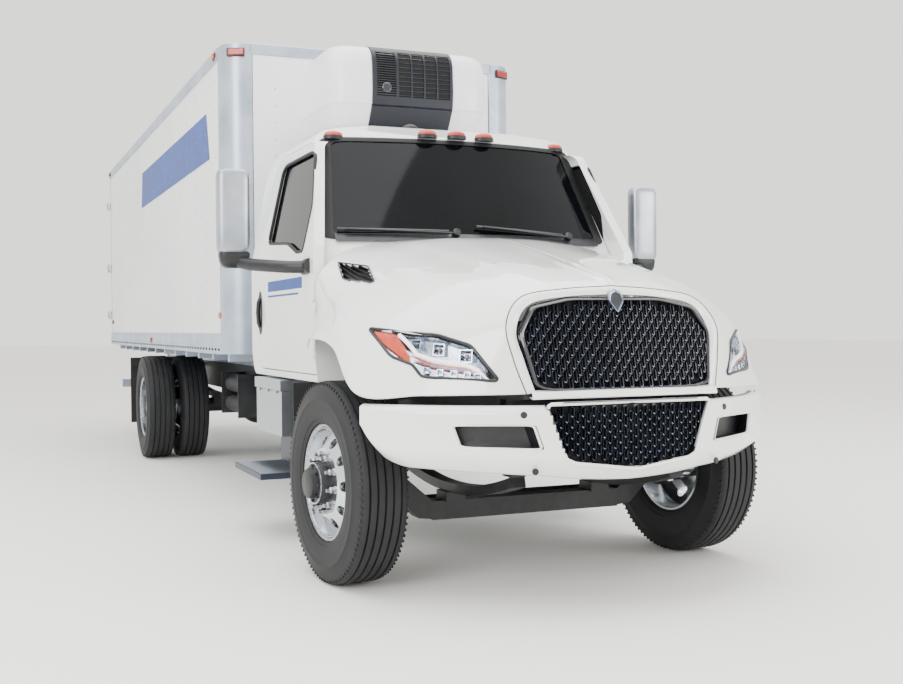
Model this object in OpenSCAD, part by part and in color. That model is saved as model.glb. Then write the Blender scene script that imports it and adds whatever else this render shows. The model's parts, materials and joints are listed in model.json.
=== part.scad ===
// Refrigerated truck: conventional cab on a straight frame with an insulated box.
// The front faces -Y, the truck's left side is +X and the ground is z = 0.

/* [Overall] */
// From the middle of the front axle to the middle of the rear axle
wheelbase = 6310; // [5600:10:7200]
// From the foremost point of the bumper to the front axle
front_overhang = 1157; // [1150:1:1200]
// From the rear axle to the back of the box
rear_overhang = 3404; // [3000:1:3800]

/* [Wheels] */
// Tyre radius
tyre_r = 517; // [500:1:530]
// Width over a tyre's sidewalls
tyre_w = 283; // [250:1:290]
// Radius of the bead seat of the rims
rim_r = 286; // [280:1:300]
// Middle plane of the front tyres from the centre line
front_track_half = 1028; // [1000:1:1060]
// Middle plane of the outer rear tyres from the centre line
rear_outer_half = 1070; // [1060:1:1090]
// Distance between the twin tyres
twin_spacing = 330; // [310:1:345]
// Kingpin from the centre line
kingpin_half = 880; // [860:1:890]
// Steering angle at which the truck is parked, to its left
parked_steer = 4.5; // [0:0.5:10]

/* [Frame] */
// Outer faces of the frame rails from the centre line
rail_half = 432; // [420:1:440]
// Height of the frame rails
rail_h = 260; // [220:1:275]
// Underside of the frame rails above the ground
rail_z = 700; // [690:1:720]
// Wall of the frame rails
rail_wall = 9; // [6:1:12]

/* [Hood] */
// Thickness of the hood's moulding
hood_wall = 12; // [8:1:16]
// Thickness of the grille
grille_thick = 34; // [25:1:45]

/* [Cab] */
// Half the cab's width over the doors
cab_half = 1030; // [980:1:1040]
// Thickness of the cab's walls and doors
cab_wall = 60; // [45:1:65]
// Back of the cab behind the front axle
cab_back = 2060; // [1950:1:2150]
// Front edge of the doors behind the front axle
door_front = 535; // [530:1:560]
// Rear edge of the doors behind the front axle
door_back = 1850; // [1700:1:1900]
// Gap round the doors
door_gap = 7; // [5:1:10]
// Thickness of the glass
glass = 6; // [4:1:8]

/* [Load box] */
// Half the box's width
box_half = 1120; // [1080:1:1200]
// Front wall of the box behind the front axle
box_front = 2440; // [2350:1:2600]
// Underside of the box above the ground
box_z = 1120; // [1100:1:1160]
// Top of the box above the ground
box_top = 3330; // [3250:1:3500]
// Thickness of the insulated walls
box_wall = 75; // [60:1:90]
// Thickness of the insulated floor
floor_h = 150; // [120:1:170]
// Radius of the front corner posts
post_r = 140; // [100:1:160]

/* [Cooling unit] */
// Half the width of the cooling unit
unit_half = 575; // [500:1:620]
// Depth of the cooling unit in front of the box
unit_depth = 800; // [700:1:850]

/* [Hidden] */
// The rear door hinges stand out behind the box by their pin's offset and barrel
hinge_out = 30;
barrel_r = 18;
overall = front_overhang + wheelbase + rear_overhang + hinge_out + barrel_r;
axle_y = front_overhang - overall / 2;
rear_axle = wheelbase;
box_back = wheelbase + rear_overhang;
rail_top = rail_z + rail_h;
tyre_gap = 0.3;
twin_mid = rear_outer_half - twin_spacing / 2;
bore_fit = 0.08;
spindle_r = 35;
hub_r = 105;
hood_pivot = [-1010, 700];
// Springs and hangers end this far outside the rails, and the hood's arms pass outside them
spring_out = 44;
arm_x = rail_half + spring_out + 8;
door_pivot = [cab_half - 5, door_front + 10];
rear_door_pivot = [box_half + 25, box_back + hinge_out];
post_depth = post_r + 10;
door_sill = 1045;
cab_z = 1000;
seam = 5;
$fn = 48;

// ---- helpers ----
module bar_z(x, y, z0, z1, r) { translate([x, y, z0]) cylinder(r = r, h = z1 - z0); }
module from_axle() { translate([0, axle_y, 0]) children(); }
module both() { children(); mirror([1, 0, 0]) children(); }
module side_of(s) { mirror([s < 0 ? 1 : 0, 0, 0]) children(); }
// Block between two corners
module block(a, b) { translate(a) cube(b - a); }
// Outline in (y, z), stretched across x from x0 to x1
module across(x0, x1) {
    translate([x0, 0, 0]) rotate([90, 0, 90]) linear_extrude(x1 - x0) children();
}
// Outline in (x, z), stretched along y from y0 to y1
module along(y0, y1) {
    translate([0, y1, 0]) rotate([90, 0, 0]) linear_extrude(y1 - y0) children();
}
// Round bar along x
module bar_x(x0, x1, y, z, r) { translate([x0, y, z]) rotate([0, 90, 0]) cylinder(r = r, h = x1 - x0); }
// Round bar along y
module bar_y(y0, y1, x, z, r) { translate([x, y1, z]) rotate([90, 0, 0]) cylinder(r = r, h = y1 - y0); }

function unit(v) = v / norm(v);
function flat2(p) = [p[0], p[1]];
// Points of one rounded corner at p, between a and b
function corner(a, p, b, r, n) = r <= 0 ? [p] :
    let (u = unit(a - p), w = unit(b - p), h = acos(u * w) / 2,
        c = p + unit(u + w) * r / sin(h), s = p + u * r / tan(h), e = p + w * r / tan(h),
        a0 = atan2(s[1] - c[1], s[0] - c[0]), d = atan2(e[1] - c[1], e[0] - c[0]) - a0,
        t = d > 180 ? d - 360 : d < -180 ? d + 360 : d)
    [for (i = [0:n]) c + r * [cos(a0 + t * i / n), sin(a0 + t * i / n)]];
// Polygon whose points [x, y, radius] are rounded
function soft(q, n = 4) = let (k = len(q)) [for (i = [0:k - 1])
    each corner(flat2(q[(i + k - 1) % k]), flat2(q[i]), flat2(q[(i + 1) % k]),
        len(q[i]) > 2 ? q[i][2] : 0, n)];

// ---- smooth surfaces through a net of chosen points ----
function blend4(a, b, c, d, t) = ((2 * b) + (c - a) * t + (2 * a - 5 * b + 4 * c - d) * t * t
    + (3 * b - a - 3 * c + d) * t * t * t) / 2;
function pick(row, i) = row[max(0, min(len(row) - 1, i))];
function at_row(row, t) = let (i = min(floor(t), len(row) - 2))
    blend4(i == 0 ? 2 * row[0] - row[1] : row[i - 1], row[i], row[i + 1],
        i + 2 > len(row) - 1 ? 2 * row[i + 1] - row[i] : row[i + 2], t - i);
function at_net(net, u, v) = at_row([for (row = net) at_row(row, u)], v);
function facing(net, u, v, e = 0.05) = let (uu = len(net[0]) - 1, vv = len(net) - 1,
    a = at_net(net, min(uu, u + e), v) - at_net(net, max(0, u - e), v),
    b = at_net(net, u, min(vv, v + e)) - at_net(net, u, max(0, v - e))) unit(cross(a, b));
// Solid skin of the net between the values us and vs, from depth d0 to depth d1 under it
module skin(net, us, vs, d0, d1) {
    nu = len(us);
    nv = len(vs);
    outer = [for (v = vs) for (u = us) at_net(net, u, v) - d0 * facing(net, u, v)];
    inner = [for (v = vs) for (u = us) at_net(net, u, v) - d1 * facing(net, u, v)];
    n = nu * nv;
    ring = concat([for (i = [0:nu - 2]) i], [for (j = [0:nv - 2]) j * nu + nu - 1],
        [for (i = [nu - 1:-1:1]) (nv - 1) * nu + i], [for (j = [nv - 1:-1:1]) j * nu]);
    k = len(ring);
    polyhedron(concat(outer, inner), concat(
        [for (j = [0:nv - 2]) for (i = [0:nu - 2]) let (a = j * nu + i)
            each [[a, a + nu + 1, a + 1], [a, a + nu, a + nu + 1]]],
        [for (j = [0:nv - 2]) for (i = [0:nu - 2]) let (a = n + j * nu + i)
            each [[a, a + 1, a + nu + 1], [a, a + nu + 1, a + nu]]],
        [for (i = [0:k - 1]) let (a = ring[i], b = ring[(i + 1) % k])
            each [[a, b, b + n], [a, b + n, a + n]]]));
}
function steps_of(a, b, n) = [for (i = [0:n]) a + (b - a) * i / n];

// Right half of the hood in rings from the grille's opening to the cab, each ring from the top
// centre to the lower edge; measured from the front axle, x outward
hood_net = [
    [[0, -962, 1452], [250, -958, 1440], [442, -957, 1402], [518, -978, 1284], [500, -1020, 1150], [468, -1062, 1012]],
    [[0, -945, 1490], [260, -938, 1474], [470, -930, 1436], [566, -972, 1310], [548, -1012, 1150], [505, -1052, 1000]],
    [[0, -800, 1538], [300, -800, 1522], [560, -820, 1452], [690, -868, 1310], [700, -925, 1150], [690, -965, 996]],
    [[0, -560, 1600], [320, -580, 1586], [640, -610, 1510], [860, -690, 1330], [900, -750, 1160], [910, -800, 992]],
    [[0, -280, 1672], [330, -290, 1656], [700, -310, 1575], [985, -390, 1380], [1085, -480, 1200], [1140, -560, 992]],
    [[0, 0, 1735], [340, 0, 1720], [740, -10, 1640], [1010, -60, 1450], [1110, -150, 1330], [1152, -215, 1205]],
    [[0, 270, 1788], [350, 270, 1775], [775, 260, 1700], [1015, 225, 1500], [1085, 190, 1360], [1152, 170, 1248]],
    [[0, 515, 1822], [360, 515, 1810], [800, 515, 1750], [1000, 515, 1610], [1034, 515, 1400], [1080, 515, 1190]]];
function other_side(net) = [for (row = net) [for (p = row) [-p[0], p[1], p[2]]]];
function whole_rows(net) = [for (row = net) concat(
    [for (i = [len(row) - 1:-1:1]) [-row[i][0], row[i][1], row[i][2]]], row)];
hood_all = whole_rows(hood_net);
// The lamp takes this part of the net, counted in its rows and columns
lamp_u = [3.05, 4.55];
lamp_v = [1.75, 3.75];
lamp_gap = 0.005;

// ---- chassis ----
module frame_rails() {
    color("#1c1d20") from_axle() {
        for (s = [-1, 1]) side_of(s) difference() {
            block([rail_half - 80, -1000, rail_z], [rail_half, box_back - 120, rail_top]);
            block([rail_half - 81, -1001, rail_z + rail_wall],
                [rail_half - rail_wall, box_back - 119, rail_top - rail_wall]);
        }
        for (y = [-970, 1500, 2700, 3900, 5100, wheelbase + 650, box_back - 500])
            block([-(rail_half - rail_wall), y - 30, rail_z + 150],
                [rail_half - rail_wall, y + 30, rail_top - 30]);
        // Mounts that carry the cab
        for (s = [-1, 1]) for (y = [660, 1880]) translate([s * (rail_half - 45), y, rail_top - 5])
            cylinder(r = 40, h = cab_z - tyre_gap - rail_top + 5);
        // Spring hangers and the hood's pivot brackets
        for (s = [-1, 1]) side_of(s) {
            for (y = [-780, 780, wheelbase - 780, wheelbase + 780])
                block([rail_half - 34, y - 45, y < 1000 ? 596.3 : 686.3], [rail_half + spring_out + 2, y + 45, rail_z + 40]);
            bar_x(rail_half - 20, arm_x + 55, hood_pivot[0], hood_pivot[1], 15);
            block([rail_half - 60, -1050, rail_z - 20], [rail_half, -985, rail_z + 60]);
        }
    }
}
module front_axle() {
    color("#17181a") from_axle() difference() {
        union() {
            block([-560, -50, 285], [560, 50, 385]);
            for (s = [-1, 1]) side_of(s) {
                along(-50, 50) polygon([[500, 285], [640, 300], [850, 500], [850, 600], [760, 560], [560, 385], [500, 385]]);
                translate([kingpin_half, 0, 460]) cylinder(r = 45, h = 140);
                block([rail_half - 50, -70, 380], [rail_half + 60, 70, 430]);
            }
        }
        for (s = [-1, 1]) side_of(s) translate([kingpin_half, 0, 450]) cylinder(r = 20, h = 160);
    }
}
module spring(y, eye_z, seat_z) {
    // A pack of leaves: an arc from eye to eye that sags at the axle
    half = 825;
    sag = eye_z - seat_z;
    r = (half * half + sag * sag) / (2 * sag);
    a = asin(half / r);
    across(rail_half - 34, rail_half + spring_out) translate([y, seat_z + r]) polygon(concat(
        [for (i = [0:24]) let (t = -a + 2 * a * i / 24) r * [sin(t), -cos(t)]],
        [for (i = [24:-1:0]) let (t = -a + 2 * a * i / 24) (r - 50) * [sin(t), -cos(t)]]));
}
module leaf_springs() {
    color("#222327") from_axle() both() {
        spring(0, 548, 430.3);
        spring(rear_axle, 636, 596);
    }
}
module rear_axle_housing() {
    color("#17181a") from_axle() {
        difference() {
            union() {
                translate([0, rear_axle, tyre_r]) sphere(r = 215, $fn = 48);
                for (s = [-1, 1]) side_of(s) {
                    bar_x(100, 600, rear_axle, tyre_r, 72);
                    bar_x(590, twin_mid + 70, rear_axle, tyre_r, 50);
                    block([rail_half - 45, rear_axle - 80, tyre_r], [rail_half + 55, rear_axle + 80, 595.7]);
                }
                bar_y(rear_axle - 300, rear_axle, 0, tyre_r + 20, 80);
            }
            block([-20, rear_axle + 190, 500], [20, rear_axle + 230, 540]);
        }
    }
}
module driveshaft() {
    from = [0, 1255, 760];
    to = [0, rear_axle - 300.5, tyre_r + 20];
    d = to - from;
    color("#2a2b2e") from_axle() translate(from) rotate([atan2(-d[1], d[2]), 0, 0])
        cylinder(r = 48, h = norm(d) - 2);
}
module engine_block() {
    color("#3a3d42") from_axle() {
        block([-290, -480, 700], [290, 420, 1330]);
        block([-190, 420, 660], [190, 1250, 900]);
        for (s = [-1, 1]) side_of(s) bar_x(280, rail_half - rail_wall - 0.3, -200, 830, 40);
    }
}
module radiator() {
    color("#2b2e33") from_axle() {
        block([-350, -840, 720], [350, -700, 1330]);
        block([-(rail_half - rail_wall - 0.3), -800, 760], [rail_half - rail_wall - 0.3, -740, 800]);
    }
}
module fuel_tank() {
    color("#b9bdc2") from_axle() {
        bar_y(760, 1900, 770, 720, 270);
        for (y = [900, 1700]) block([rail_half + 0.3, y - 30, 800], [700, y + 30, 860]);
    }
}
module battery_box() {
    color("#a9adb2") from_axle() mirror([1, 0, 0]) {
        block([640, 1200, 640], [1050, 1860, 915]);
        block([630, 1190, 920], [1060, 1870, 985]);
        block([650, 1210, 914], [1040, 1850, 921]);
        for (y = [1300, 1760]) block([rail_half + 0.3, y - 30, 760], [641, y + 30, 820]);
    }
}
module step_set(y0, y1) {
    block([860, y0, 385], [1190, y1, 420]);
    block([850, y0, 420], [880, y1, 639.7]);
    for (y = [y0 + 40, y1 - 80]) block([rail_half + 60, y, 560], [851, y + 40, 620]);
    for (y = [y0 + 40, y1 - 80]) block([rail_half + 0.3, y, 560], [rail_half + 61, y + 40, 760]);
}
module steps() {
    color("#20283a") from_axle() {
        mirror([1, 0, 0]) step_set(1180, 1900);
        difference() {
            step_set(1180, 1800);
            bar_y(760, 1900, 770, 720, 271);
        }
    }
}
module air_tanks() {
    color("#2a2b2e") from_axle() mirror([1, 0, 0]) {
        for (z = [620, 800]) bar_y(4300, 5000, rail_half + 110, z, 84);
        block([rail_half + 0.3, 4290, 520], [rail_half + 220, 4310, 900]);
        block([rail_half + 0.3, 4990, 520], [rail_half + 220, 5010, 900]);
    }
}
// ---- front ----
// Half outline of the bumper seen from above
bumper_edge = [[0, -1157], [445, -1106], [700, -990], [930, -820], [1080, -660], [1128, -575]];
bumper_wall = 24;
function inward(q, k) = let (d = unit(q[min(k + 1, len(q) - 1)] - q[max(k - 1, 0)])) [-d[1], d[0]];
module bumper_body(h0, h1) {
    n = len(bumper_edge) - 1;
    translate([0, 0, h0]) linear_extrude(h1 - h0) polygon(concat(bumper_edge,
        [[bumper_edge[n][0] - bumper_wall, bumper_edge[n][1]]],
        [for (k = [n - 1:-1:1]) bumper_edge[k] + bumper_wall * inward(bumper_edge, k)],
        [[0, bumper_edge[0][1] + bumper_wall]]));
}
module front_bumper() {
    color("white") from_axle() difference() {
        union() {
            both() difference() {
                bumper_body(620, 950);
                // Lower edge rises towards the ends
                along(-1300, -500) polygon([[0, 500], [0, 560], [420, 600], [1150, 650], [1200, 500]]);
                block([462, -1300, 750], [720, -500, 860]);
            }
            for (s = [-1, 1]) side_of(s) block([rail_half - 75, -1095, 800], [rail_half - 5, -1000.3, 860]);
        }
        // Place of the mesh insert
        along(-1300, -1096) polygon([[-445, 960], [445, 960], [345, 690], [0, 640], [-345, 690]]);
    }
}
module bumper_grille() {
    color("#15171c") from_axle() intersection() {
        both() bumper_body(600, 960);
        along(-1300, -1096.3) polygon([[-435, 945], [435, 945], [339, 694], [0, 645], [-339, 694]]);
    }
}
module mud_flaps() {
    color("#141518") from_axle() both() {
        // Splash panels behind the front wheels
        block([rail_half + 60, 655, 520], [1120, 667, 995]);
        block([rail_half + 0.3, 650, 880], [rail_half + 62, 672, 930]);
        // Flaps and their bars behind the rear wheels
        block([560, rear_axle + 780, 300], [1215, rear_axle + 790, 1000]);
        block([rail_half + 0.3, rear_axle + 760, 900], [1215, rear_axle + 780, 940]);
    }
}
module hood() {
    rows = len(hood_net) - 1;
    cols = len(hood_net[0]) - 1;
    color("white") from_axle() difference() {
        skin(hood_all, steps_of(0, cols * 2, cols * 2 * 3), steps_of(0, rows, rows * 3), 0, hood_wall);
        for (s = [-1, 1]) side_of(s)
            skin(hood_net, steps_of(lamp_u[0], lamp_u[1], 6), steps_of(lamp_v[0], lamp_v[1], 6), -20, hood_wall + 20);
        for (i = [1:8]) translate([0, -3000 - i * 10, 0]) hull() cube(1);
    }
}
module headlights() {
    color("#dfe6ee") from_axle() both()
        skin(hood_net, steps_of(lamp_u[0] + lamp_gap, lamp_u[1] - lamp_gap, 6),
            steps_of(lamp_v[0] + lamp_gap, lamp_v[1] - lamp_gap, 6), -1, hood_wall + 15);
}
module hood_hinges() {
    y = hood_pivot[0];
    z = hood_pivot[1];
    color("#202125") from_axle() both() across(arm_x, arm_x + 30) difference() {
        union() {
            translate([y, z]) circle(r = 30);
            polygon(soft([[y - 5, z - 34], [-760, z - 34], [-760, 1040], [-930, 1040], [-990, 998.3],
                [-1050, 998.3], [-1050, 975], [-940, 965], [-792, 965], [-792, z + 14], [y - 5, z + 14]]));
        }
        translate([y, z]) circle(r = 15.3);
    }
}
module grille() {
    lean = atan2(105, 390);
    half = [[0, 441], [247, 434, 30], [437, 393, 40], [514, 270, 60], [464, -4, 30], [0, -14]];
    color("#12141a") from_axle() translate([0, -1066, 1012]) rotate([90 - lean, 0, 0]) both()
        translate([0, 0, -grille_thick]) linear_extrude(grille_thick) intersection() {
            polygon(soft(half));
            translate([0, -50]) square([600, 700]);
        }
}
// ---- cab ----
// Cross-section of the cab, inset by w
function cab_section(w, low = cab_z) = [[-(cab_half - 15) + w, low + w], [cab_half - 15 - w, low + w],
    [cab_half - w, 1150, 60], [cab_half - w, 1740, 60], [905 - w, 2395, 60], [820 - w, 2500 - w, 90],
    [420, 2572 - w, 300], [-420, 2572 - w, 300], [-820 + w, 2500 - w, 90], [-905 + w, 2395, 60],
    [-cab_half + w, 1740, 60], [-cab_half + w, 1150, 60]];
// Side profile of the cab, inset by w
function cab_profile(w) = [[520 + w, cab_z + w], [cab_back - w, cab_z + w, 60], [cab_back - w, 2420, 160],
    [cab_back - 120 - w, 2572 - w, 90], [1180, 2572 - w, 200], [925 + w * 1.2, 2470 - w * 0.5, 80],
    [520 + w * 1.2, 1790 - w * 0.6]];
screen_lean = 30.4;
screen_r = 3000;
module screen_drum(w) {
    translate([0, 545 + w * 1.16, 1815]) rotate([-screen_lean, 0, 0])
        translate([0, screen_r, -1600]) cylinder(r = screen_r, h = 3200, $fn = 240);
}
module cab_solid(w) {
    intersection() {
        along(400, 2200) polygon(soft(cab_section(w)));
        across(-1100, 1100) polygon(soft(cab_profile(w)));
        screen_drum(w);
    }
}
screen_outline = [[-895, 1818, 40], [895, 1818, 40], [805, 2452, 70], [-805, 2452, 70]];
function shrink(q, m, c) = [for (p = q) [p[0] - sign(p[0] - c[0]) * m, p[1] - sign(p[1] - c[1]) * m, p[2]]];
door_outline = [[door_front, door_sill], [door_back, door_sill, 60], [door_back, 1900],
    [door_back - 110, 2415, 120], [930, 2415, 60], [door_front + 40, 1830, 40], [door_front, 1760, 20]];
window_outline = [[885, 2345, 40], [720, 2010, 60], [760, 1745, 30], [900, 1745, 40], [1150, 1815, 60],
    [1680, 1850, 40], [1610, 2345, 70]];
back_window = [[-480, 1900, 50], [480, 1900, 50], [440, 2330, 50], [-440, 2330, 50]];
module door_shape(m) {
    polygon(soft([for (p = door_outline) [p[0] + (p[0] < 1000 ? -m : m),
        p[1] + (p[1] < 1500 ? -m : p[1] > 2400 ? m : 0), len(p) > 2 ? p[2] : 0]]));
}
// The cab's side wall between two depths under its outer face
module wall_band(w0, w1) {
    difference() {
        along(400, 2200) polygon(soft(cab_section(w0)));
        along(399, 2201) polygon(soft(cab_section(w1, 800)));
    }
}
module cab_shell() {
    color("white") from_axle() for (s = [-1, 1]) side_of(s) for (z = door_hinge_z) door_lug(z);
    color("white") from_axle() difference() {
        cab_solid(0);
        cab_solid(cab_wall);
        for (s = [-1, 1]) side_of(s) intersection() {
            wall_band(-5, cab_wall + door_gap);
            across(650, 1200) door_shape(door_gap);
        }
        along(300, 1250) polygon(soft(screen_outline));
        along(1900, 2200) polygon(soft(back_window));
    }
}
module cab_glass() {
    color("#1a2230") from_axle() {
        intersection() {
            difference() {
                screen_drum(4);
                screen_drum(4 + glass);
            }
            along(300, 1250) polygon(soft(shrink(screen_outline, 0.3, [0, 2100])));
        }
        along(cab_back - 40, cab_back - 40 + glass) polygon(soft(shrink(back_window, 0.3, [0, 2100])));
    }
}
// Each door turns on two slim pins: lugs stand on the cab ahead of a pocket in the door's edge
door_hinge_z = [1190, 1400];
pin_r = 4;
knuckle_half = 25;
module door_lug(z) {
    px = door_pivot[0];
    py = door_pivot[1];
    for (k = [-1, 1]) translate([0, 0, z + k * (knuckle_half + 10.3)]) {
        block([px - 12, 521, -10], [px + 4, py, 10]);
        translate([px, py, -10]) cylinder(r = 8, h = 20);
    }
    translate([px, py, z - knuckle_half - 15]) cylinder(r = pin_r, h = 2 * knuckle_half + 30);
    block([px - 26, 521, z - 50], [px + 3, door_front - door_gap - 0.5, z + 50]);
}
module door_knuckle(z) {
    px = door_pivot[0];
    py = door_pivot[1];
    difference() {
        union() {
            translate([px, py, z - knuckle_half]) cylinder(r = 9, h = 2 * knuckle_half);
            block([px - 9, py, z - knuckle_half], [px + 3, py + 30, z + knuckle_half]);
        }
        translate([px, py, z - knuckle_half - 1]) cylinder(r = pin_r + 0.25, h = 2 * knuckle_half + 2);
    }
}
module door(s) {
    color("white") from_axle() side_of(s) {
        intersection() {
            difference() {
                wall_band(0, cab_wall);
                across(650, 1200) polygon(soft(window_outline));
                for (z = door_hinge_z) block([980, 500, z - 60], [1060, door_pivot[1] + 20, z + 60]);
            }
            across(650, 1200) door_shape(0);
        }
        for (z = door_hinge_z) door_knuckle(z);
    }
}
module door_glass(s) {
    color("#1a2230") from_axle() side_of(s) intersection() {
        wall_band(20, 20 + glass);
        across(700, 1200) polygon(soft(shrink(window_outline, 0.3, [1200, 2050])));
    }
}
module mirror_set(s) {
    color("#25272c") from_axle() side_of(s) {
        translate([0, 0, 1735]) linear_extrude(490) polygon(soft([[1290, 940, 20], [1472, 925, 30],
            [1478, 1020, 40], [1296, 1030, 30]]));
        translate([0, 0, 1600]) linear_extrude(90) polygon(soft([[cab_half + 0.3, 600, 5], [1120, 625, 30],
            [1400, 940, 20], [1400, 1000, 20], [1310, 1000, 20], [1080, 740, 30], [cab_half + 0.3, 730, 5]]));
        block([1320, 945, 1685], [1420, 1000, 1740]);
    }
}
module dashboard() {
    color("#2a2c30") from_axle() {
        intersection() {
            difference() {
                block([-930, 600, 1420], [930, 960, 1700]);
                across(-940, 940) polygon([[800, 1400], [970, 1400], [970, 1600]]);
            }
            screen_drum(cab_wall + 10);
        }
        for (s = [-1, 1]) side_of(s) block([560, 740, 1060.3], [590, 800, 1421]);
        translate([430, 800, 1500]) rotate([-60, 0, 0]) cylinder(r = 35, h = 270);
    }
}
module steering_wheel() {
    color("#17181a") from_axle() translate([430, 800, 1500]) rotate([-60, 0, 0]) translate([0, 0, 270.3]) {
        rotate_extrude() translate([215, 16]) circle(r = 16);
        cylinder(r = 50, h = 28);
        for (a = [0, 120, 240]) rotate([0, 0, a]) translate([30, -16, 4]) cube([175, 32, 18]);
    }
}
module seats() {
    color("#2b2d31") from_axle() both() {
        block([200, 1230, 1060.3], [680, 1700, 1300]);
        block([180, 1190, 1300], [700, 1720, 1420]);
        across(190, 690) polygon(soft([[1650, 1410, 20], [1780, 1410, 30], [1900, 2080, 40], [1780, 2100, 40]]));
        across(300, 580) polygon(soft([[1785, 2095, 20], [1890, 2080, 20], [1915, 2260, 50], [1815, 2270, 50]]));
    }
}
// ---- load box ----
module box_floor() {
    w = box_half - box_wall - 0.3;
    color("#8d9299") from_axle() {
        block([-w, box_front + box_wall + 0.3, box_z], [w, box_back - 80.3, box_z + floor_h]);
        for (s = [-1, 1]) side_of(s) block([rail_half - 70, box_front + post_depth, rail_top + 0.3],
            [rail_half - 10, box_back - 140, box_z + 1]);
        for (y = [box_front + 300:610:box_back - 200]) block([-w, y, box_z - 60], [w, y + 60, box_z + 1]);
    }
}
module box_front_wall() {
    d = post_depth;
    color("#c9ced6") from_axle() difference() {
        translate([0, box_front, box_z]) linear_extrude(box_top - box_z) polygon(soft([[-box_half, d - 0.3],
            [-box_half, 0, post_r], [box_half, 0, post_r], [box_half, d - 0.3], [box_half - box_wall, d - 0.3],
            [box_half - box_wall, box_wall], [-(box_half - box_wall), box_wall],
            [-(box_half - box_wall), d - 0.3]]));
    }
}
module box_side_walls() {
    color("white") from_axle() both()
        block([box_half - box_wall, box_front + post_depth, box_z], [box_half, box_back - 80.3, box_top]);
}
module box_roof() {
    w = box_half - box_wall - 0.3;
    color("#dfe2e6") from_axle()
        block([-w, box_front + box_wall + 0.3, box_top - box_wall], [w, box_back - 80.3, box_top]);
}
module rear_frame() {
    y0 = box_back - 80;
    color("#c9ced6") from_axle() {
        difference() {
            union() {
                difference() {
                    block([-box_half, y0, box_z], [box_half, box_back, box_top]);
                    block([-(box_half - box_wall), y0 - 1, box_z + floor_h], [box_half - box_wall, box_back + 1, box_top - 90]);
                }
                // Hinge brackets with their pins
                for (s = [-1, 1]) side_of(s) for (z = [1500, 2100, 2900]) {
                    block([box_half - 1, box_back - 20, z - 60], [rear_door_pivot[0] + 14, box_back, z - 42]);
                    block([rear_door_pivot[0] - 14, box_back - 20, z - 60], [rear_door_pivot[0] + 14, rear_door_pivot[1] + 14, z - 42]);
                    translate([rear_door_pivot[0], rear_door_pivot[1], z - 50]) cylinder(r = 8, h = 100);
                }
                // Under-ride guard and its legs, and the rear step
                block([-1000, box_back - 60, 560], [1000, box_back, 660]);
                for (s = [-1, 1]) side_of(s)
                    block([rail_half - 70, box_back - 79.7, 560], [rail_half, box_back - 59, box_z + 1]);
            }
            for (s = [-1, 1]) side_of(s) translate([700, box_back - 61, 610]) rotate([-90, 0, 0]) cylinder(r = 9, h = 62);
        }
    }
}
module rear_door(s) {
    x1 = box_half - box_wall - seam;
    px = rear_door_pivot[0];
    py = rear_door_pivot[1];
    color("white") from_axle() side_of(s) {
        block([3, box_back - 75, box_z + floor_h + seam], [x1, box_back, box_top - 90 - seam]);
        for (z = [1500, 2100, 2900]) {
            block([850, box_back - 1, z - 36], [x1 - 30, box_back + 8, z + 36]);
            difference() {
                union() {
                    block([850, box_back + 6, z - 36], [px, box_back + 14, z + 36]);
                    translate([px, py, z - 36]) cylinder(r = barrel_r, h = 72);
                    block([px - 12, box_back + 6, z - 36], [px, py, z + 36]);
                }
                translate([px, py, z - 40]) cylinder(r = 8.3, h = 80);
            }
        }
        for (x = [200, 500]) bar_z(x, box_back + 24, box_z + floor_h + 20, box_top - 110, 14);
        for (x = [200, 500]) for (z = [box_z + floor_h + 60, 1500, 2100, 2900, box_top - 160])
            block([x - 25, box_back - 1, z], [x + 25, box_back + 20, z + 50]);
    }
}
module cooling_unit() {
    z0 = 2690;
    f = box_front - 0.3;
    prof = [[f, z0], [f, z0 + 560, 60], [f - unit_depth + 180, z0 + 545, 120], [f - unit_depth + 40, z0 + 440, 120],
        [f - unit_depth, z0 + 120, 60], [f - unit_depth + 150, z0, 30]];
    plan = [[-unit_half, f], [-unit_half, f - unit_depth + 110, 120], [-unit_half + 200, f - unit_depth - 1, 120],
        [unit_half - 200, f - unit_depth - 1, 120], [unit_half, f - unit_depth + 110, 120], [unit_half, f]];
    front = [[-unit_half + 30, z0, 30], [unit_half - 30, z0, 30], [unit_half, z0 + 130, 80], [unit_half - 20, z0 + 490, 80],
        [unit_half - 120, z0 + 561, 60], [-unit_half + 120, z0 + 561, 60], [-unit_half + 20, z0 + 490, 80], [-unit_half, z0 + 130, 80]];
    color("#eef0f2") from_axle() intersection() {
        across(-unit_half, unit_half) polygon(soft(prof));
        translate([0, 0, z0 - 1]) linear_extrude(600) polygon(soft(plan));
        along(f - unit_depth - 10, f + 10) polygon(soft(front));
    }
}
// ---- wheels ----
// Turns its children with the parked steering about the kingpin on side s
module parked(s) {
    from_axle() translate([s * kingpin_half, 0, 0]) rotate([0, 0, parked_steer])
        translate([-s * kingpin_half, 0, 0]) children();
}
module tyre(x) {
    w = tyre_w / 2;
    r0 = rim_r + tyre_gap;
    translate([x, 0, tyre_r]) rotate([0, 90, 0]) rotate_extrude($fn = 96) polygon(soft([[r0, -w + 36],
        [r0 + 30, -w + 22, 20], [r0 + 115, -w, 60], [tyre_r - 20, -w + 14, 22], [tyre_r, -w + 42, 22], [tyre_r, w - 42, 22],
        [tyre_r - 20, w - 14, 22], [r0 + 115, w, 60], [r0 + 30, w - 22, 20], [r0, w - 36]]));
}
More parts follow.
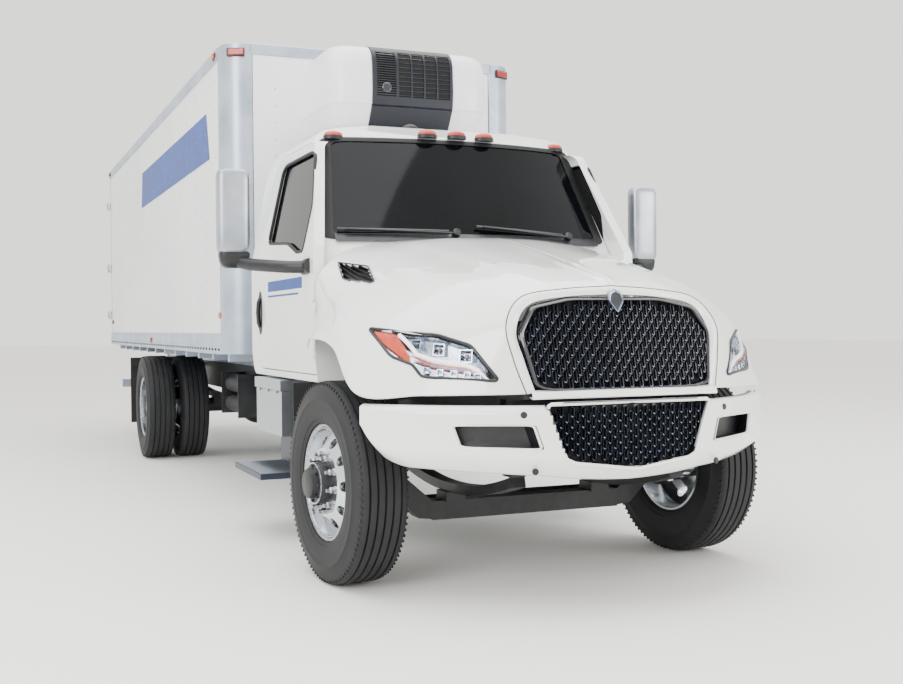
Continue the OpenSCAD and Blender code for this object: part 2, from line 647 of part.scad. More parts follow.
// Rim: barrel with two flanges; the disc sits at offset d, dished towards +x
module rim(x, dish) {
    translate([x, 0, tyre_r]) rotate([0, 90, 0]) {
        rotate_extrude($fn = 96) polygon([[rim_r - 12, -105], [rim_r, -105], [rim_r, 105], [rim_r - 12, 105]]);
        rotate_extrude($fn = 96) translate([rim_r - 11, dish[0]]) polygon([[0, 0], [0, 26],
            [-60, 26 + dish[1] * 0.6], [-100, 24 + dish[1]], [-176, 24 + dish[1]], [-176, dish[1]], [-94, dish[1]],
            [-60, dish[1] * 0.5]]);
    }
}
module front_wheel(s) {
    x = front_track_half;
    color("silver") parked(s) side_of(s) difference() {
        union() {
            rim(x, [20, 70]);
            bar_x(kingpin_half + 105, x + 175, 0, tyre_r, hub_r);
            bar_x(x + 174, x + 205, 0, tyre_r, 70);
        }
        bar_x(kingpin_half + 60, x + 160, 0, tyre_r, spindle_r + bore_fit);
        for (k = [0:9]) translate([x, 0, tyre_r]) rotate([36 * k + 18, 0, 0]) translate([0, 0, 212])
            rotate([0, 90, 0]) cylinder(r = 27, h = 200);
    }
}
module knuckle(s) {
    x = kingpin_half;
    color("#202225") parked(s) side_of(s) difference() {
        union() {
            for (z = [410, 605]) block([x - 45, -45, z], [x + 95, 45, z + 45]);
            block([x + 52, -60, 410], [x + 95, 60, 650]);
            bar_x(x + 90, front_track_half + 150, 0, tyre_r, spindle_r);
            translate([x, 0, 415]) cylinder(r = 19.7, h = 230);
            block([x - 25, -30, 385], [x + 25, 230, 420]);
        }
        translate([x, tie_y, 380]) cylinder(r = 12.3, h = 50);
    }
}
// The tie rod joins the ends of the steering arms
tie_y = 210;
function arm_end(s) = [s * kingpin_half - tie_y * sin(parked_steer), tie_y * cos(parked_steer), 0];
module tie_rod() {
    a = arm_end(-1);
    b = arm_end(1);
    d = b - a;
    color("#2a2b2e") from_axle() {
        translate([a[0], a[1], 365]) rotate([0, 90, atan2(d[1], d[0])]) cylinder(r = 18, h = norm(d));
        for (p = [a, b]) translate([p[0], p[1], 340]) {
            cylinder(r = 24, h = 44.5);
            cylinder(r = 12, h = 90);
        }
    }
}
module twin_wheels(s) {
    inner = rear_outer_half - twin_spacing;
    color("silver") from_axle() translate([0, rear_axle, 0]) side_of(s) difference() {
        union() {
            rim(rear_outer_half, [-70, -70]);
            mirror([1, 0, 0]) rim(-inner, [-70, -70]);
            bar_x(inner + 30, rear_outer_half + 60, 0, tyre_r, hub_r + 12);
        }
        bar_x(inner + 20, twin_mid + 80, 0, tyre_r, 50 + bore_fit);
        bar_x(inner - 160, inner + 32, 0, tyre_r, 90);
    }
}
module twin_tyres(s) {
    color("#1b1b1c") from_axle() translate([0, rear_axle, 0]) side_of(s) {
        tyre(rear_outer_half);
        tyre(rear_outer_half - twin_spacing);
    }
}
module front_tyre(s) { color("#1b1b1c") parked(s) side_of(s) tyre(front_track_half); }

frame_rails();
front_axle();
leaf_springs();
rear_axle_housing();  // rear_axle
driveshaft();
engine_block();
radiator();
fuel_tank();
battery_box();
steps();
air_tanks();
front_bumper();
bumper_grille();
mud_flaps();
cab_shell();
cab_glass();
dashboard();
steering_wheel();
seats();
box_floor();
box_front_wall();
box_side_walls();
box_roof();
rear_frame();
cooling_unit();
hood();
hood_hinges();
grille();
headlights();
door(-1);  // door_right
door(1);  // door_left
door_glass(-1);  // door_glass_right
door_glass(1);  // door_glass_left
mirror_set(-1);  // mirror_right
mirror_set(1);  // mirror_left
knuckle(-1);  // knuckle_right
knuckle(1);  // knuckle_left
tie_rod();
front_wheel(-1);  // wheel_front_right
front_wheel(1);  // wheel_front_left
front_tyre(-1);  // tyre_front_right
front_tyre(1);  // tyre_front_left
twin_wheels(-1);  // wheels_rear_right
twin_wheels(1);  // wheels_rear_left
twin_tyres(-1);  // tyres_rear_right
twin_tyres(1);  // tyres_rear_left
rear_door(-1);  // rear_door_right
rear_door(1);  // rear_door_left
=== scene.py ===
import json
import math

import bpy
import numpy as np
from mathutils import Matrix, Vector


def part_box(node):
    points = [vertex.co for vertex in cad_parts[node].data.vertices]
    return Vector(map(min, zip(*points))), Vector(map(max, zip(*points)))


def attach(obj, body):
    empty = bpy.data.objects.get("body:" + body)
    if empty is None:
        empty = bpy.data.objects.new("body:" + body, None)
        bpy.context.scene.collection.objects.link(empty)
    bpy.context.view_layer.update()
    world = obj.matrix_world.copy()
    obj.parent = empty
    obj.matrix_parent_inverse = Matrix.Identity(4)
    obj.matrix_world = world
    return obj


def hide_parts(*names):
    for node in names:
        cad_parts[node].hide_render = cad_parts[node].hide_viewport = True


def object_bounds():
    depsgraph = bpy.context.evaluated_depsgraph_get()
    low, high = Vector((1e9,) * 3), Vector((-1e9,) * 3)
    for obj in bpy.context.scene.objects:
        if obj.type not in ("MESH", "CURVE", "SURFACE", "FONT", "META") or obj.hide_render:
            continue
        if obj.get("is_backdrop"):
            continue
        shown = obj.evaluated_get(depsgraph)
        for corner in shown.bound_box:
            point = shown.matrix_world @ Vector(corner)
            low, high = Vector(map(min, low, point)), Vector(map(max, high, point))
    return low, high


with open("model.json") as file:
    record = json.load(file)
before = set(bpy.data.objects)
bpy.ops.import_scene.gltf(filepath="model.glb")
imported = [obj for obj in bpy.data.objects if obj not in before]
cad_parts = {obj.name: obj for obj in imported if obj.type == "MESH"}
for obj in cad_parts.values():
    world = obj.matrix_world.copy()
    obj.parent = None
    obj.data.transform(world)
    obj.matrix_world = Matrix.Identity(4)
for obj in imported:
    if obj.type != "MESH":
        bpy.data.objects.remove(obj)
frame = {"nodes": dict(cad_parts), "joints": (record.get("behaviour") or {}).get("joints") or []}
cad_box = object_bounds()

# ---- The place and the light ----
# A parked truck in a pale studio: one matt floor, a big soft light over the passenger side and a
# fill from the driver's side. Everything along the truck is measured from the front axle.
axle_low, axle_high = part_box("front_axle")
AXLE = (axle_low[1] + axle_high[1]) / 2


def srgb(hex_code):
    out = []
    for i in (1, 3, 5):
        c = int(hex_code[i:i + 2], 16) / 255
        out.append(c / 12.92 if c <= 0.04045 else ((c + 0.055) / 1.055) ** 2.4)
    return (*out, 1.0)


def add(tree, kind, settings=None, **links):
    """Adds one node; settings are its properties or its sockets' values, links its inputs."""
    made = tree.nodes.new(kind)
    for key, value in (settings or {}).items():
        if hasattr(made, key):
            setattr(made, key, value)
        else:
            made.inputs[key].default_value = value
    for key, source in links.items():
        tree.links.new(source, made.inputs[key.replace("_", " ")])
    return made


def material(name, colour, roughness, metallic=0.0, coat=0.0):
    mat = bpy.data.materials.new(name)
    mat.use_nodes = True
    shader = mat.node_tree.nodes["Principled BSDF"]
    shader.inputs["Base Color"].default_value = srgb(colour)
    shader.inputs["Roughness"].default_value = roughness
    shader.inputs["Metallic"].default_value = metallic
    shader.inputs["Coat Weight"].default_value = coat
    shader.inputs["Coat Roughness"].default_value = 0.04
    return mat, mat.node_tree, shader


def mottle(tree, shader, dark, light, grain_mm, rough_low, rough_high, bump_mm=0.0, bump_scale_mm=1.0):
    """Colour and gloss that wander a little, with an optional fine bump."""
    where = add(tree, "ShaderNodeTexCoord").outputs["Object"]
    noise = add(tree, "ShaderNodeTexNoise", {"Scale": 1000 / grain_mm, "Detail": 5.0}, Vector=where)
    ramp = add(tree, "ShaderNodeValToRGB", Fac=noise.outputs["Fac"])
    ramp.color_ramp.elements[0].position = 0.35
    ramp.color_ramp.elements[1].position = 0.65
    ramp.color_ramp.elements[0].color = srgb(dark)
    ramp.color_ramp.elements[1].color = srgb(light)
    tree.links.new(ramp.outputs["Color"], shader.inputs["Base Color"])
    gloss = add(tree, "ShaderNodeMapRange", {"To Min": rough_low, "To Max": rough_high},
                Value=noise.outputs["Fac"])
    tree.links.new(gloss.outputs["Result"], shader.inputs["Roughness"])
    if bump_mm:
        fine = add(tree, "ShaderNodeTexNoise", {"Scale": 1000 / bump_scale_mm, "Detail": 3.0}, Vector=where)
        bump = add(tree, "ShaderNodeBump", {"Strength": 0.6, "Distance": bump_mm / 1000},
                   Height=fine.outputs["Fac"])
        tree.links.new(bump.outputs["Normal"], shader.inputs["Normal"])


def piece(name, points, faces, mat, body, smooth=True):
    mesh = bpy.data.meshes.new(name)
    mesh.from_pydata([tuple(p) for p in points], [], [tuple(f) for f in faces])
    mesh.validate()
    mesh.update()
    made = bpy.data.objects.new(name, mesh)
    bpy.context.scene.collection.objects.link(made)
    mesh.materials.append(mat)
    for polygon in mesh.polygons:
        polygon.use_smooth = smooth
    if smooth:
        mesh.set_sharp_from_angle(angle=math.radians(38))
    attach(made, body)
    return made


def dress(mat, *names):
    for name in names:
        node = frame["nodes"][name]
        node.data.materials.clear()
        node.data.materials.append(mat)


class Bits:
    """Collects many small solids into one mesh."""

    def __init__(self):
        self.points, self.faces = [], []

    def grid(self, rows, closed=False, cap=False):
        start, width = len(self.points), len(rows[0])
        for row in rows:
            self.points += [tuple(p) for p in row]
        for j in range(len(rows) - 1):
            for i in range(width if closed else width - 1):
                a, b = start + j * width + i, start + j * width + (i + 1) % width
                self.faces.append((a, b, b + width, a + width))
        if cap:
            last = start + (len(rows) - 1) * width
            self.faces.append(tuple(start + i for i in reversed(range(width))))
            self.faces.append(tuple(last + i for i in range(width)))

    def turn(self, profile, centre, axis, sides=24, cap=True):
        """Revolves (radius, distance along axis) points about the axis through centre."""
        axis = Vector(axis).normalized()
        u = axis.orthogonal().normalized()
        w = axis.cross(u)
        rows = [[Vector(centre) + axis * h + (u * math.cos(t) + w * math.sin(t)) * r
                 for t in (2 * math.pi * k / sides for k in range(sides))] for r, h in profile]
        self.grid(rows, closed=True, cap=cap)

    def box(self, low, high, edge=0.0, spin=None):
        """A block between two corners, its edges chamfered, turned by spin about its middle."""
        low, high = Vector(map(min, low, high)), Vector(map(max, low, high))
        mid, half = (low + high) / 2, (high - low) / 2
        e = min(edge, *[h * 0.49 for h in half]) if edge else 0.0
        rows = []
        for z, inset in ((-half.z, e), (-half.z + e, 0), (half.z - e, 0), (half.z, e)):
            x, y = half.x - inset, half.y - inset
            c = e * 0.999 if not inset else e * 0.5
            ring = [(x - c, y), (x, y - c), (x, -y + c), (x - c, -y), (-x + c, -y), (-x, -y + c),
                    (-x, y - c),
                    (-x + c, y)]
            rows.append([mid + (spin @ Vector((px, py, z)) if spin else Vector((px, py, z))) for px,
                         py in reversed(ring)])
        self.grid(rows, closed=True, cap=True)

    def tube(self, path, radius, sides=8):
        path = [Vector(p) for p in path]
        rows = []
        for k, p in enumerate(path):
            run = (path[min(k + 1, len(path) - 1)] - path[max(k - 1, 0)]).normalized()
            u = run.cross(Vector((0.13, 0.37, 0.92))).normalized()
            w = run.cross(u)
            rows.append([p + (u * math.cos(t) + w * math.sin(t)) * radius
                         for t in (2 * math.pi * i / sides for i in range(sides))])
        self.grid(rows, closed=True, cap=True)

    def make(self, name, mat, body, slot_name, smooth=True):
        return piece(name, self.points, self.faces, mat, body, smooth)


def at(x, y, z):
    """A place given from the ground under the front axle."""
    return Vector((x, AXLE + y, z))


floor_mat, tree, shader = material("studio_floor", "#f4f3ef", 0.9)
floor_mesh = bpy.data.meshes.new("studio_floor")
floor_mesh.from_pydata([(-60, -60, 0), (60, -60, 0), (60, 90, 0), (-60, 90, 0)], [], [(0, 1, 2, 3)])
floor = bpy.data.objects.new("studio_floor", floor_mesh)
bpy.context.scene.collection.objects.link(floor)
floor_mesh.materials.append(floor_mat)
floor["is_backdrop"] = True

world = bpy.data.worlds.new("studio")
bpy.context.scene.world = world
world.use_nodes = True
sky = world.node_tree.nodes["Background"]
sky.inputs["Color"].default_value = srgb("#f5f4f0")
sky.inputs["Strength"].default_value = 1.9


def soft_light(name, place, target, size, power):
    lamp = bpy.data.lights.new(name, "AREA")
    lamp.shape = "RECTANGLE"
    lamp.size, lamp.size_y = size
    lamp.energy = power
    made = bpy.data.objects.new(name, lamp)
    made.location = place
    made.rotation_euler = (Vector(target) - Vector(place)).to_track_quat("-Z", "Y").to_euler()
    bpy.context.scene.collection.objects.link(made)


soft_light("overhead", at(-1.0, 1.5, 9.0), at(0, 2.0, 1.0), (8, 14), 1250)
soft_light("front_right", at(-7.5, -6.5, 5.0), at(0, 0.5, 1.2), (5, 4), 560)
soft_light("front_left", at(7.0, -7.0, 3.6), at(0, 0, 1.2), (4, 3), 330)

camera = bpy.data.objects.new("camera", bpy.data.cameras.new("camera"))
bpy.context.scene.collection.objects.link(camera)
bpy.context.scene.camera = camera
camera.data.sensor_width = 36
camera.data.lens = 45.49
camera.data.clip_end = 200
yaw, pitch, roll = (math.radians(a) for a in (22.746, -0.772, -0.497))
ahead = Vector((math.sin(yaw) * math.cos(pitch), math.cos(yaw) * math.cos(pitch), math.sin(pitch)))
level = Vector((math.cos(yaw), -math.sin(yaw), 0))
above = level.cross(ahead)
right = level * math.cos(roll) + above * math.sin(roll)
over = above * math.cos(roll) - level * math.sin(roll)
camera.matrix_world = Matrix((right, over, -ahead)).transposed().to_4x4()
camera.location = at(-2.782, -5.621, 1.304)

# ---- Chassis ----
# Pressed and forged steel under black chassis enamel, slightly dusty from the road, with a dull
# satin look. The gearbox and engine are cast iron, the driveshaft is drawn steel tube.
enamel, tree, shader = material("chassis_enamel", "#17181b", 0.5)
mottle(tree, shader, "#101114", "#232428", 90, 0.38, 0.6, 0.4, 6)
dress(enamel, "frame_rails", "front_axle", "rear_axle", "knuckle_right", "knuckle_left", "tie_rod",
      "air_tanks", "hood_hinges", "leaf_springs")
castings, tree, shader = material("cast_iron_castings", "#34373c", 0.6)
mottle(tree, shader, "#292b2f", "#3d4147", 40, 0.5, 0.75, 1.0, 3)
dress(castings, "engine_block", "driveshaft")
core, tree, shader = material("radiator_core", "#22252a", 0.5, 0.6)
wave = add(tree, "ShaderNodeTexWave", {"Scale": 60.0, "bands_direction": "Z"},
           Vector=add(tree, "ShaderNodeTexCoord").outputs["Object"])
bump = add(tree, "ShaderNodeBump", {"Strength": 0.8, "Distance": 0.003}, Height=wave.outputs["Fac"])
tree.links.new(bump.outputs["Normal"], shader.inputs["Normal"])
dress(core, "radiator")
# Rubber mud flaps and splash panels, moulded, matt and a little grey with dust.
flaps, tree, shader = material("moulded_rubber", "#18191b", 0.8)
mottle(tree, shader, "#0f1012", "#1d1d1f", 130, 0.65, 0.9, 0.5, 4)
dress(flaps, "mud_flaps")

# ---- Fuel tank, battery box and steps ----
# Spun and folded aluminium sheet with a brushed grain; the step is painted steel tread plate.
brushed, tree, shader = material("brushed_aluminium", "#b3b8bf", 0.32, 1.0)
where = add(tree, "ShaderNodeTexCoord").outputs["Object"]
stretch = add(tree, "ShaderNodeMapping", {"Scale": (400.0, 4.0, 400.0)}, Vector=where)
grain = add(tree, "ShaderNodeTexNoise", {"Scale": 1.0, "Detail": 3.0}, Vector=stretch.outputs["Vector"])
gloss = add(tree, "ShaderNodeMapRange", {"To Min": 0.22, "To Max": 0.46}, Value=grain.outputs["Fac"])
tree.links.new(gloss.outputs["Result"], shader.inputs["Roughness"])
dress(brushed, "battery_box", "fuel_tank")
tread_paint, tree, shader = material("tread_plate_paint", "#232b3c", 0.42)
lozenge = add(tree, "ShaderNodeTexWave", {"Scale": 14.0, "bands_direction": "DIAGONAL", "Distortion": 0.0},
              Vector=add(tree, "ShaderNodeTexCoord").outputs["Object"])
bump = add(tree, "ShaderNodeBump", {"Strength": 0.5, "Distance": 0.002}, Height=lozenge.outputs["Fac"])
tree.links.new(bump.outputs["Normal"], shader.inputs["Normal"])
dress(tread_paint, "steps")
straps = Bits()
for y in (0.98, 1.72):
    straps.turn([(0.2702, -0.02), (0.274, -0.02), (0.274, 0.02), (0.2702, 0.02)], at(0.77, y, 0.72),
                (0, 1, 0), 48,
                cap=False)
for k in range(3):
    straps.box(at(-1.062, 1.30 + 0.22 * k, 0.90), at(-1.052, 1.33 + 0.22 * k, 0.96), 0.002)
for k in range(14):
    straps.box(at(-1.185, 1.20 + 0.05 * k, 0.4195), at(-0.90, 1.215 + 0.05 * k, 0.4245), 0.001)
straps.make("tank_straps_and_latches", brushed, "root", "brushed_aluminium")

# ---- Tyres ----
# Radial truck tyres of carbon-black rubber, moulded, with straight ribs at the front and blocks at
# the back. The rubber is matt and nearly black all over.
TYRE_R = 0.517
WIDTH = 0.283
rubber, tree, shader = material("tyre_rubber", "#121316", 0.7)
mottle(tree, shader, "#0e0f12", "#1b1c20", 160, 0.6, 0.85, 0.3, 3)


def tyre_profile(grooves):
    half = WIDTH / 2
    bead = 0.2865
    out = [(bead, -half + 0.036), (bead + 0.014, -half + 0.028), (bead + 0.016, -half + 0.020),
           (bead + 0.035, -half + 0.014), (bead + 0.037, -half + 0.0105), (bead + 0.042, -half + 0.0095),
           (bead + 0.08, -half + 0.002), (bead + 0.105, -half + 0.0005), (bead + 0.13, -half + 0.002),
           (bead + 0.133, -half + 0.0005), (bead + 0.142, -half + 0.0015), (bead + 0.145, -half + 0.0045),
           (bead + 0.19, -half + 0.012), (TYRE_R - 0.024, -half + 0.017), (TYRE_R - 0.010, -half + 0.026),
           (TYRE_R - 0.0025, -half + 0.038)]
    for g in grooves:
        out += [(TYRE_R - 0.0003, g - 0.006), (TYRE_R - 0.014, g - 0.0035), (TYRE_R - 0.014, g + 0.0035),
                (TYRE_R - 0.0003, g + 0.006)]
    mirrored = [(r, -x) for r, x in reversed(out[:16])]
    return out + mirrored


def tyre(bits, centre, axis, grooves):
    bits.turn(tyre_profile(grooves), centre, axis, 128, cap=False)
    # Small blocks of the shoulder ribs
    axis = Vector(axis).normalized()
    u = axis.orthogonal().normalized()
    w = axis.cross(u)
    for k in range(96):
        t = 2 * math.pi * k / 96
        out = u * math.cos(t) + w * math.sin(t)
        side = u * -math.sin(t) + w * math.cos(t)
        for s in (-1, 1):
            mid = Vector(centre) + axis * s * (WIDTH / 2 - 0.0205) + out * (TYRE_R - 0.019)
            spin = Matrix((axis, side, out)).transposed()
            bits.box(mid - Vector((0.0045, 0.0055, 0.011)), mid + Vector((0.0045, 0.0055, 0.011)), 0.001,
                     spin)


front_axis = {}
front_centre = {}
for joint in frame["joints"]:
    if joint["name"].startswith("front_wheel"):
        side = "right" if "right" in joint["name"] else "left"
        front_axis[side] = Vector(joint["axis"]).normalized() * (1 if side == "left" else -1)
        front_centre[side] = Vector(joint["pos_m"])
for side in ("right", "left"):
    bits = Bits()
    tyre(bits, front_centre[side], front_axis[side], (-0.082, -0.041, 0.0, 0.041, 0.082))
    made = bits.make(f"front_tyre_{side}", rubber, f"front_wheel_{side}", "tyre_rubber")
    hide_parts(f"tyre_front_{side}")
REAR = 6.31
for side, s in (("right", -1), ("left", 1)):
    bits = Bits()
    for x in (1.07, 0.74):
        tyre(bits, at(s * x, REAR, TYRE_R), (s, 0, 0), (-0.074, -0.025, 0.025, 0.074))
    made = bits.make(f"rear_tyres_{side}", rubber, f"rear_wheels_{side}", "tyre_rubber")
    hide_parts(f"tyres_rear_{side}")

# ---- Wheels ----
# Forged aluminium discs, machined and polished, with a bright mirror that is slightly milky from
# washing; the hubs are cast iron painted black, held by ten plated nuts round the pilot.
polished, tree, shader = material("polished_aluminium", "#d4d8dd", 0.16, 1.0)
haze = add(tree, "ShaderNodeTexNoise", {"Scale": 9.0, "Detail": 4.0},
           Vector=add(tree, "ShaderNodeTexCoord").outputs["Object"])
gloss = add(tree, "ShaderNodeMapRange", {"To Min": 0.1, "To Max": 0.26}, Value=haze.outputs["Fac"])
tree.links.new(gloss.outputs["Result"], shader.inputs["Roughness"])
dress(polished, "wheel_front_right", "wheel_front_left", "wheels_rear_right", "wheels_rear_left")
plated, tree, shader = material("plated_steel", "#a8abb0", 0.25, 1.0)
mottle(tree, shader, "#8f9297", "#b5b8bd", 20, 0.18, 0.36)
RIM_LIP = [(0.2995, 0.1075), (0.300, 0.112), (0.296, 0.116), (0.288, 0.117), (0.280, 0.112), (0.274, 0.1)]
NUT_CIRCLE = 0.143


def ring_of(centre, axis, radius, count):
    axis = Vector(axis).normalized()
    u = axis.orthogonal().normalized()
    w = axis.cross(u)
    for k in range(count):
        t = 2 * math.pi * k / count
        yield Vector(centre) + (u * math.cos(t) + w * math.sin(t)) * radius


for side in ("right", "left"):
    axis, centre = front_axis[side], front_centre[side]
    face = 0.114
    nuts = Bits()
    for p in ring_of(centre + axis * face, axis, NUT_CIRCLE, 10):
        nuts.turn([(0.021, 0), (0.021, 0.004), (0.0165, 0.006), (0.0165, 0.026), (0.013, 0.030)], p, axis,
                  6)
        nuts.turn([(0.010, 0.028), (0.010, 0.045), (0.008, 0.047)], p, axis, 10)
    nuts.turn(RIM_LIP, centre,
              axis, 96, cap=False)
    nuts.make(f"front_nuts_{side}", plated, f"front_wheel_{side}", "polished_aluminium")
    hub = Bits()
    hub.turn([(0.106, 0.09), (0.106, 0.168), (0.100, 0.176), (0.078, 0.178), (0.074, 0.206),
              (0.066, 0.212)], centre,
             axis, 48)
    for p in ring_of(centre + axis * 0.176, axis, 0.088, 8):
        hub.turn([(0.008, 0), (0.008, 0.009), (0.006, 0.011)], p, axis, 6)
    hub.make(f"front_hub_{side}", enamel, f"front_wheel_{side}", "chassis_black")
for side, s in (("right", -1), ("left", 1)):
    centre = at(s * 1.07, REAR, TYRE_R)
    nuts = Bits()
    for p in ring_of(centre + Vector((s * -0.044, 0, 0)), (s, 0, 0), NUT_CIRCLE, 10):
        nuts.turn([(0.0165, -0.1), (0.0165, -0.072), (0.013, -0.068)], p, (s, 0, 0), 6)
    nuts.turn(RIM_LIP, centre,
              (s, 0, 0), 96, cap=False)
    nuts.turn([(0.118, 0.04), (0.118, 0.062), (0.11, 0.068), (0.06, 0.070), (0.055, 0.085), (0.05, 0.088)],
              centre,
              (s, 0, 0), 48)
    nuts.make(f"rear_nuts_and_hub_{side}", plated, f"rear_wheels_{side}", "polished_aluminium")

# ---- Hood ----
# A sheet-moulded hood and fenders in one piece, primed and painted gloss white with clear coat. It
# is one smooth skin stretched from the grille's opening back to the cab and down to the arches.
white, tree, shader = material("white_clear_coat", "#f1f2f1", 0.28, coat=1.0)
mottle(tree, shader, "#eceded", "#f6f7f6", 900, 0.24, 0.34, 0.05, 2)
HOOD_NET = np.array([
    [[0, -962, 1452], [250, -958, 1440], [442, -957, 1402], [518, -978, 1284], [500, -1020, 1150],
     [468, -1062, 1012]],
    [[0, -945, 1490], [260, -938, 1474], [470, -930, 1436], [566, -972, 1310], [548, -1012, 1150],
     [505, -1052, 1000]],
    [[0, -800, 1538], [300, -800, 1522], [560, -820, 1452], [690, -868, 1310], [700, -925, 1150],
     [690, -965, 996]],
    [[0, -560, 1600], [320, -580, 1586], [640, -610, 1510], [860, -690, 1330], [900, -750, 1160],
     [910, -800, 992]],
    [[0, -280, 1672], [330, -290, 1656], [700, -310, 1575], [985, -390, 1380], [1085, -480, 1200],
     [1140, -560, 992]],
    [[0, 0, 1735], [340, 0, 1720], [740, -10, 1640], [1010, -60, 1450], [1110, -150, 1330],
     [1152, -215, 1205]],
    [[0, 270, 1788], [350, 270, 1775], [775, 260, 1700], [1015, 225, 1500], [1085, 190, 1360],
     [1152, 170, 1248]],
    [[0, 515, 1822], [360, 515, 1810], [800, 515, 1750], [1000, 515, 1610], [1034, 515, 1400],
     [1080, 515, 1190]],
]) / 1000
ROWS, COLS = HOOD_NET.shape[0] - 1, HOOD_NET.shape[1] - 1


def at_row(row, t):
    i = min(int(t), len(row) - 2)
    f = t - i
    a = 2 * row[0] - row[1] if i == 0 else row[i - 1]
    b, c = row[i], row[i + 1]
    d = 2 * row[i + 1] - row[i] if i + 2 > len(row) - 1 else row[i + 2]
    return (2 * b + (c - a) * f + (2 * a - 5 * b + 4 * c - d) * f * f + (3 * b - a - 3 * c + d) * f ** 3) / 2


def hood_point(u, v, lift=0.0):
    """A point on the hood's left half, u from the top centre down and v from the grille back."""
    u, v = min(max(u, 0.0), COLS), min(max(v, 0.0), ROWS)
    p = at_row([at_row(row, u) for row in HOOD_NET], v)
    if lift:
        e = 0.04
        a = hood_point(min(COLS, u + e), v) - hood_point(max(0, u - e), v)
        b = hood_point(u, min(ROWS, v + e)) - hood_point(u, max(0, v - e))
        n = np.cross(a, b)
        p = p + lift * n / np.linalg.norm(n)
    return p


def hood_place(u, v, s, lift=0.0):
    p = hood_point(u, v, lift)
    return at(s * p[0], p[1], p[2])


def facing_out(rows, s):
    """Rows made for the left side, turned round for the right."""
    return rows if s > 0 else [row[::-1] for row in rows]


def inside(outline, p):
    hit = False
    for k in range(len(outline)):
        (x0, y0), (x1, y1) = outline[k - 1], outline[k]
        if (y0 > p[1]) != (y1 > p[1]) and p[0] < (x1 - x0) * (p[1] - y0) / (y1 - y0) + x0:
            hit = not hit
    return hit


def rounded(outline, share=0.16, steps=4):
    """The outline with its corners rounded by short curves."""
    out = []
    for k, p in enumerate(outline):
        p = np.array(p)
        before, after = np.array(outline[k - 1]), np.array(outline[(k + 1) % len(outline)])
        a, b = p + (before - p) * share, p + (after - p) * share
        for i in range(steps + 1):
            t = i / steps
            out.append((1 - t) ** 2 * a + 2 * t * (1 - t) * p + t * t * b)
    return [tuple(q) for q in out]


# The lamp and the side vent, as outlines on the hood's own (u, v)
LAMP = rounded([(3.41, 3.96), (3.31, 2.67), (3.58, 2.02), (4.60, 1.56), (4.49, 2.97), (4.18, 3.12),
                (4.02, 3.45)], 0.12)
VENT = rounded([(2.48, 6.70), (2.26, 5.58), (2.51, 4.75), (2.67, 5.97)], 0.12)
NU, NV = 100, 168


def ridge(u, v):
    """The hood's moulded creases: a raised centre panel and a V that runs to the badge."""
    edge = 1.18 + 0.32 * (v / ROWS)
    lift = 0.010 / (1 + math.exp((u - edge) * 16))
    spear = 0.30 * ((v - 0.8) / ROWS) + 0.03
    lift += 0.012 * math.exp(-((u - spear) / 0.07) ** 2) * math.exp(-((v - 1.0) / 1.7) ** 2)
    return lift * min(1.0, max(0.0, (v - 1.0) / 0.5)) * min(1.0, (ROWS - v) / 0.6)


bits = Bits()
for s in (-1, 1):
    start = len(bits.points)
    for j in range(NV + 1):
        v = ROWS * j / NV
        for i in range(NU + 1):
            u = COLS * i / NU
            lift = ridge(u, v)
            bits.points.append(tuple(hood_place(u, v, s, lift if lift > 1e-5 else 0.0)))
    for j in range(NV):
        for i in range(NU):
            mid = (COLS * (i + 0.5) / NU, ROWS * (j + 0.5) / NV)
            if inside(LAMP, mid) or inside(VENT, mid):
                continue
            a = start + j * (NU + 1) + i
            quad = (a, a + 1, a + NU + 2, a + NU + 1)
            bits.faces.append(quad if s > 0 else quad[::-1])
hood = bits.make("hood_skin", white, "hood", "white_paint")
thicken = hood.modifiers.new("skin", "SOLIDIFY")
thicken.thickness = 0.010
thicken.offset = -1
weld = hood.modifiers.new("weld", "WELD")
weld.merge_threshold = 0.0005
hood.modifiers.move(1, 0)
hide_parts("hood")
# Black joint line between the grille surround and the hood, and the rubber line round the lamps
seam_rubber, tree, shader = material("seam_rubber", "#0c0d0f", 0.6)
mottle(tree, shader, "#0a0b0c", "#141518", 30, 0.5, 0.7)
seams = Bits()
for s in (-1, 1):
    seams.tube([hood_place(COLS * k / 60, 1.0, s, 0.0002) for k in range(61)], 0.0028, 6)
seams.make("surround_seam", seam_rubber, "hood", "grille_black")

# ---- Hood vents ----
# Injection-moulded black ABS louvres clipped into the hood's sides, satin and evenly dark.
abs_black, tree, shader = material("moulded_abs_black", "#121317", 0.38)
mottle(tree, shader, "#0e0f12", "#1a1c21", 60, 0.32, 0.46, 0.15, 1.5)
vents = Bits()


def fill(bits, outline, place, depth):
    """A bowl under an outline: a wall down to the depth, then a flat fan across it."""
    top = [place(u, v, 0.003) for u, v in outline]
    low = [place(u, v, -depth) for u, v in outline]
    bits.grid([top, low], closed=True)
    mid = sum(low, Vector()) / len(low)
    start = len(bits.points)
    bits.points += [tuple(p) for p in low] + [tuple(mid)]
    n = len(low)
    bits.faces += [(start + k, start + (k + 1) % n, start + n) for k in range(n)]


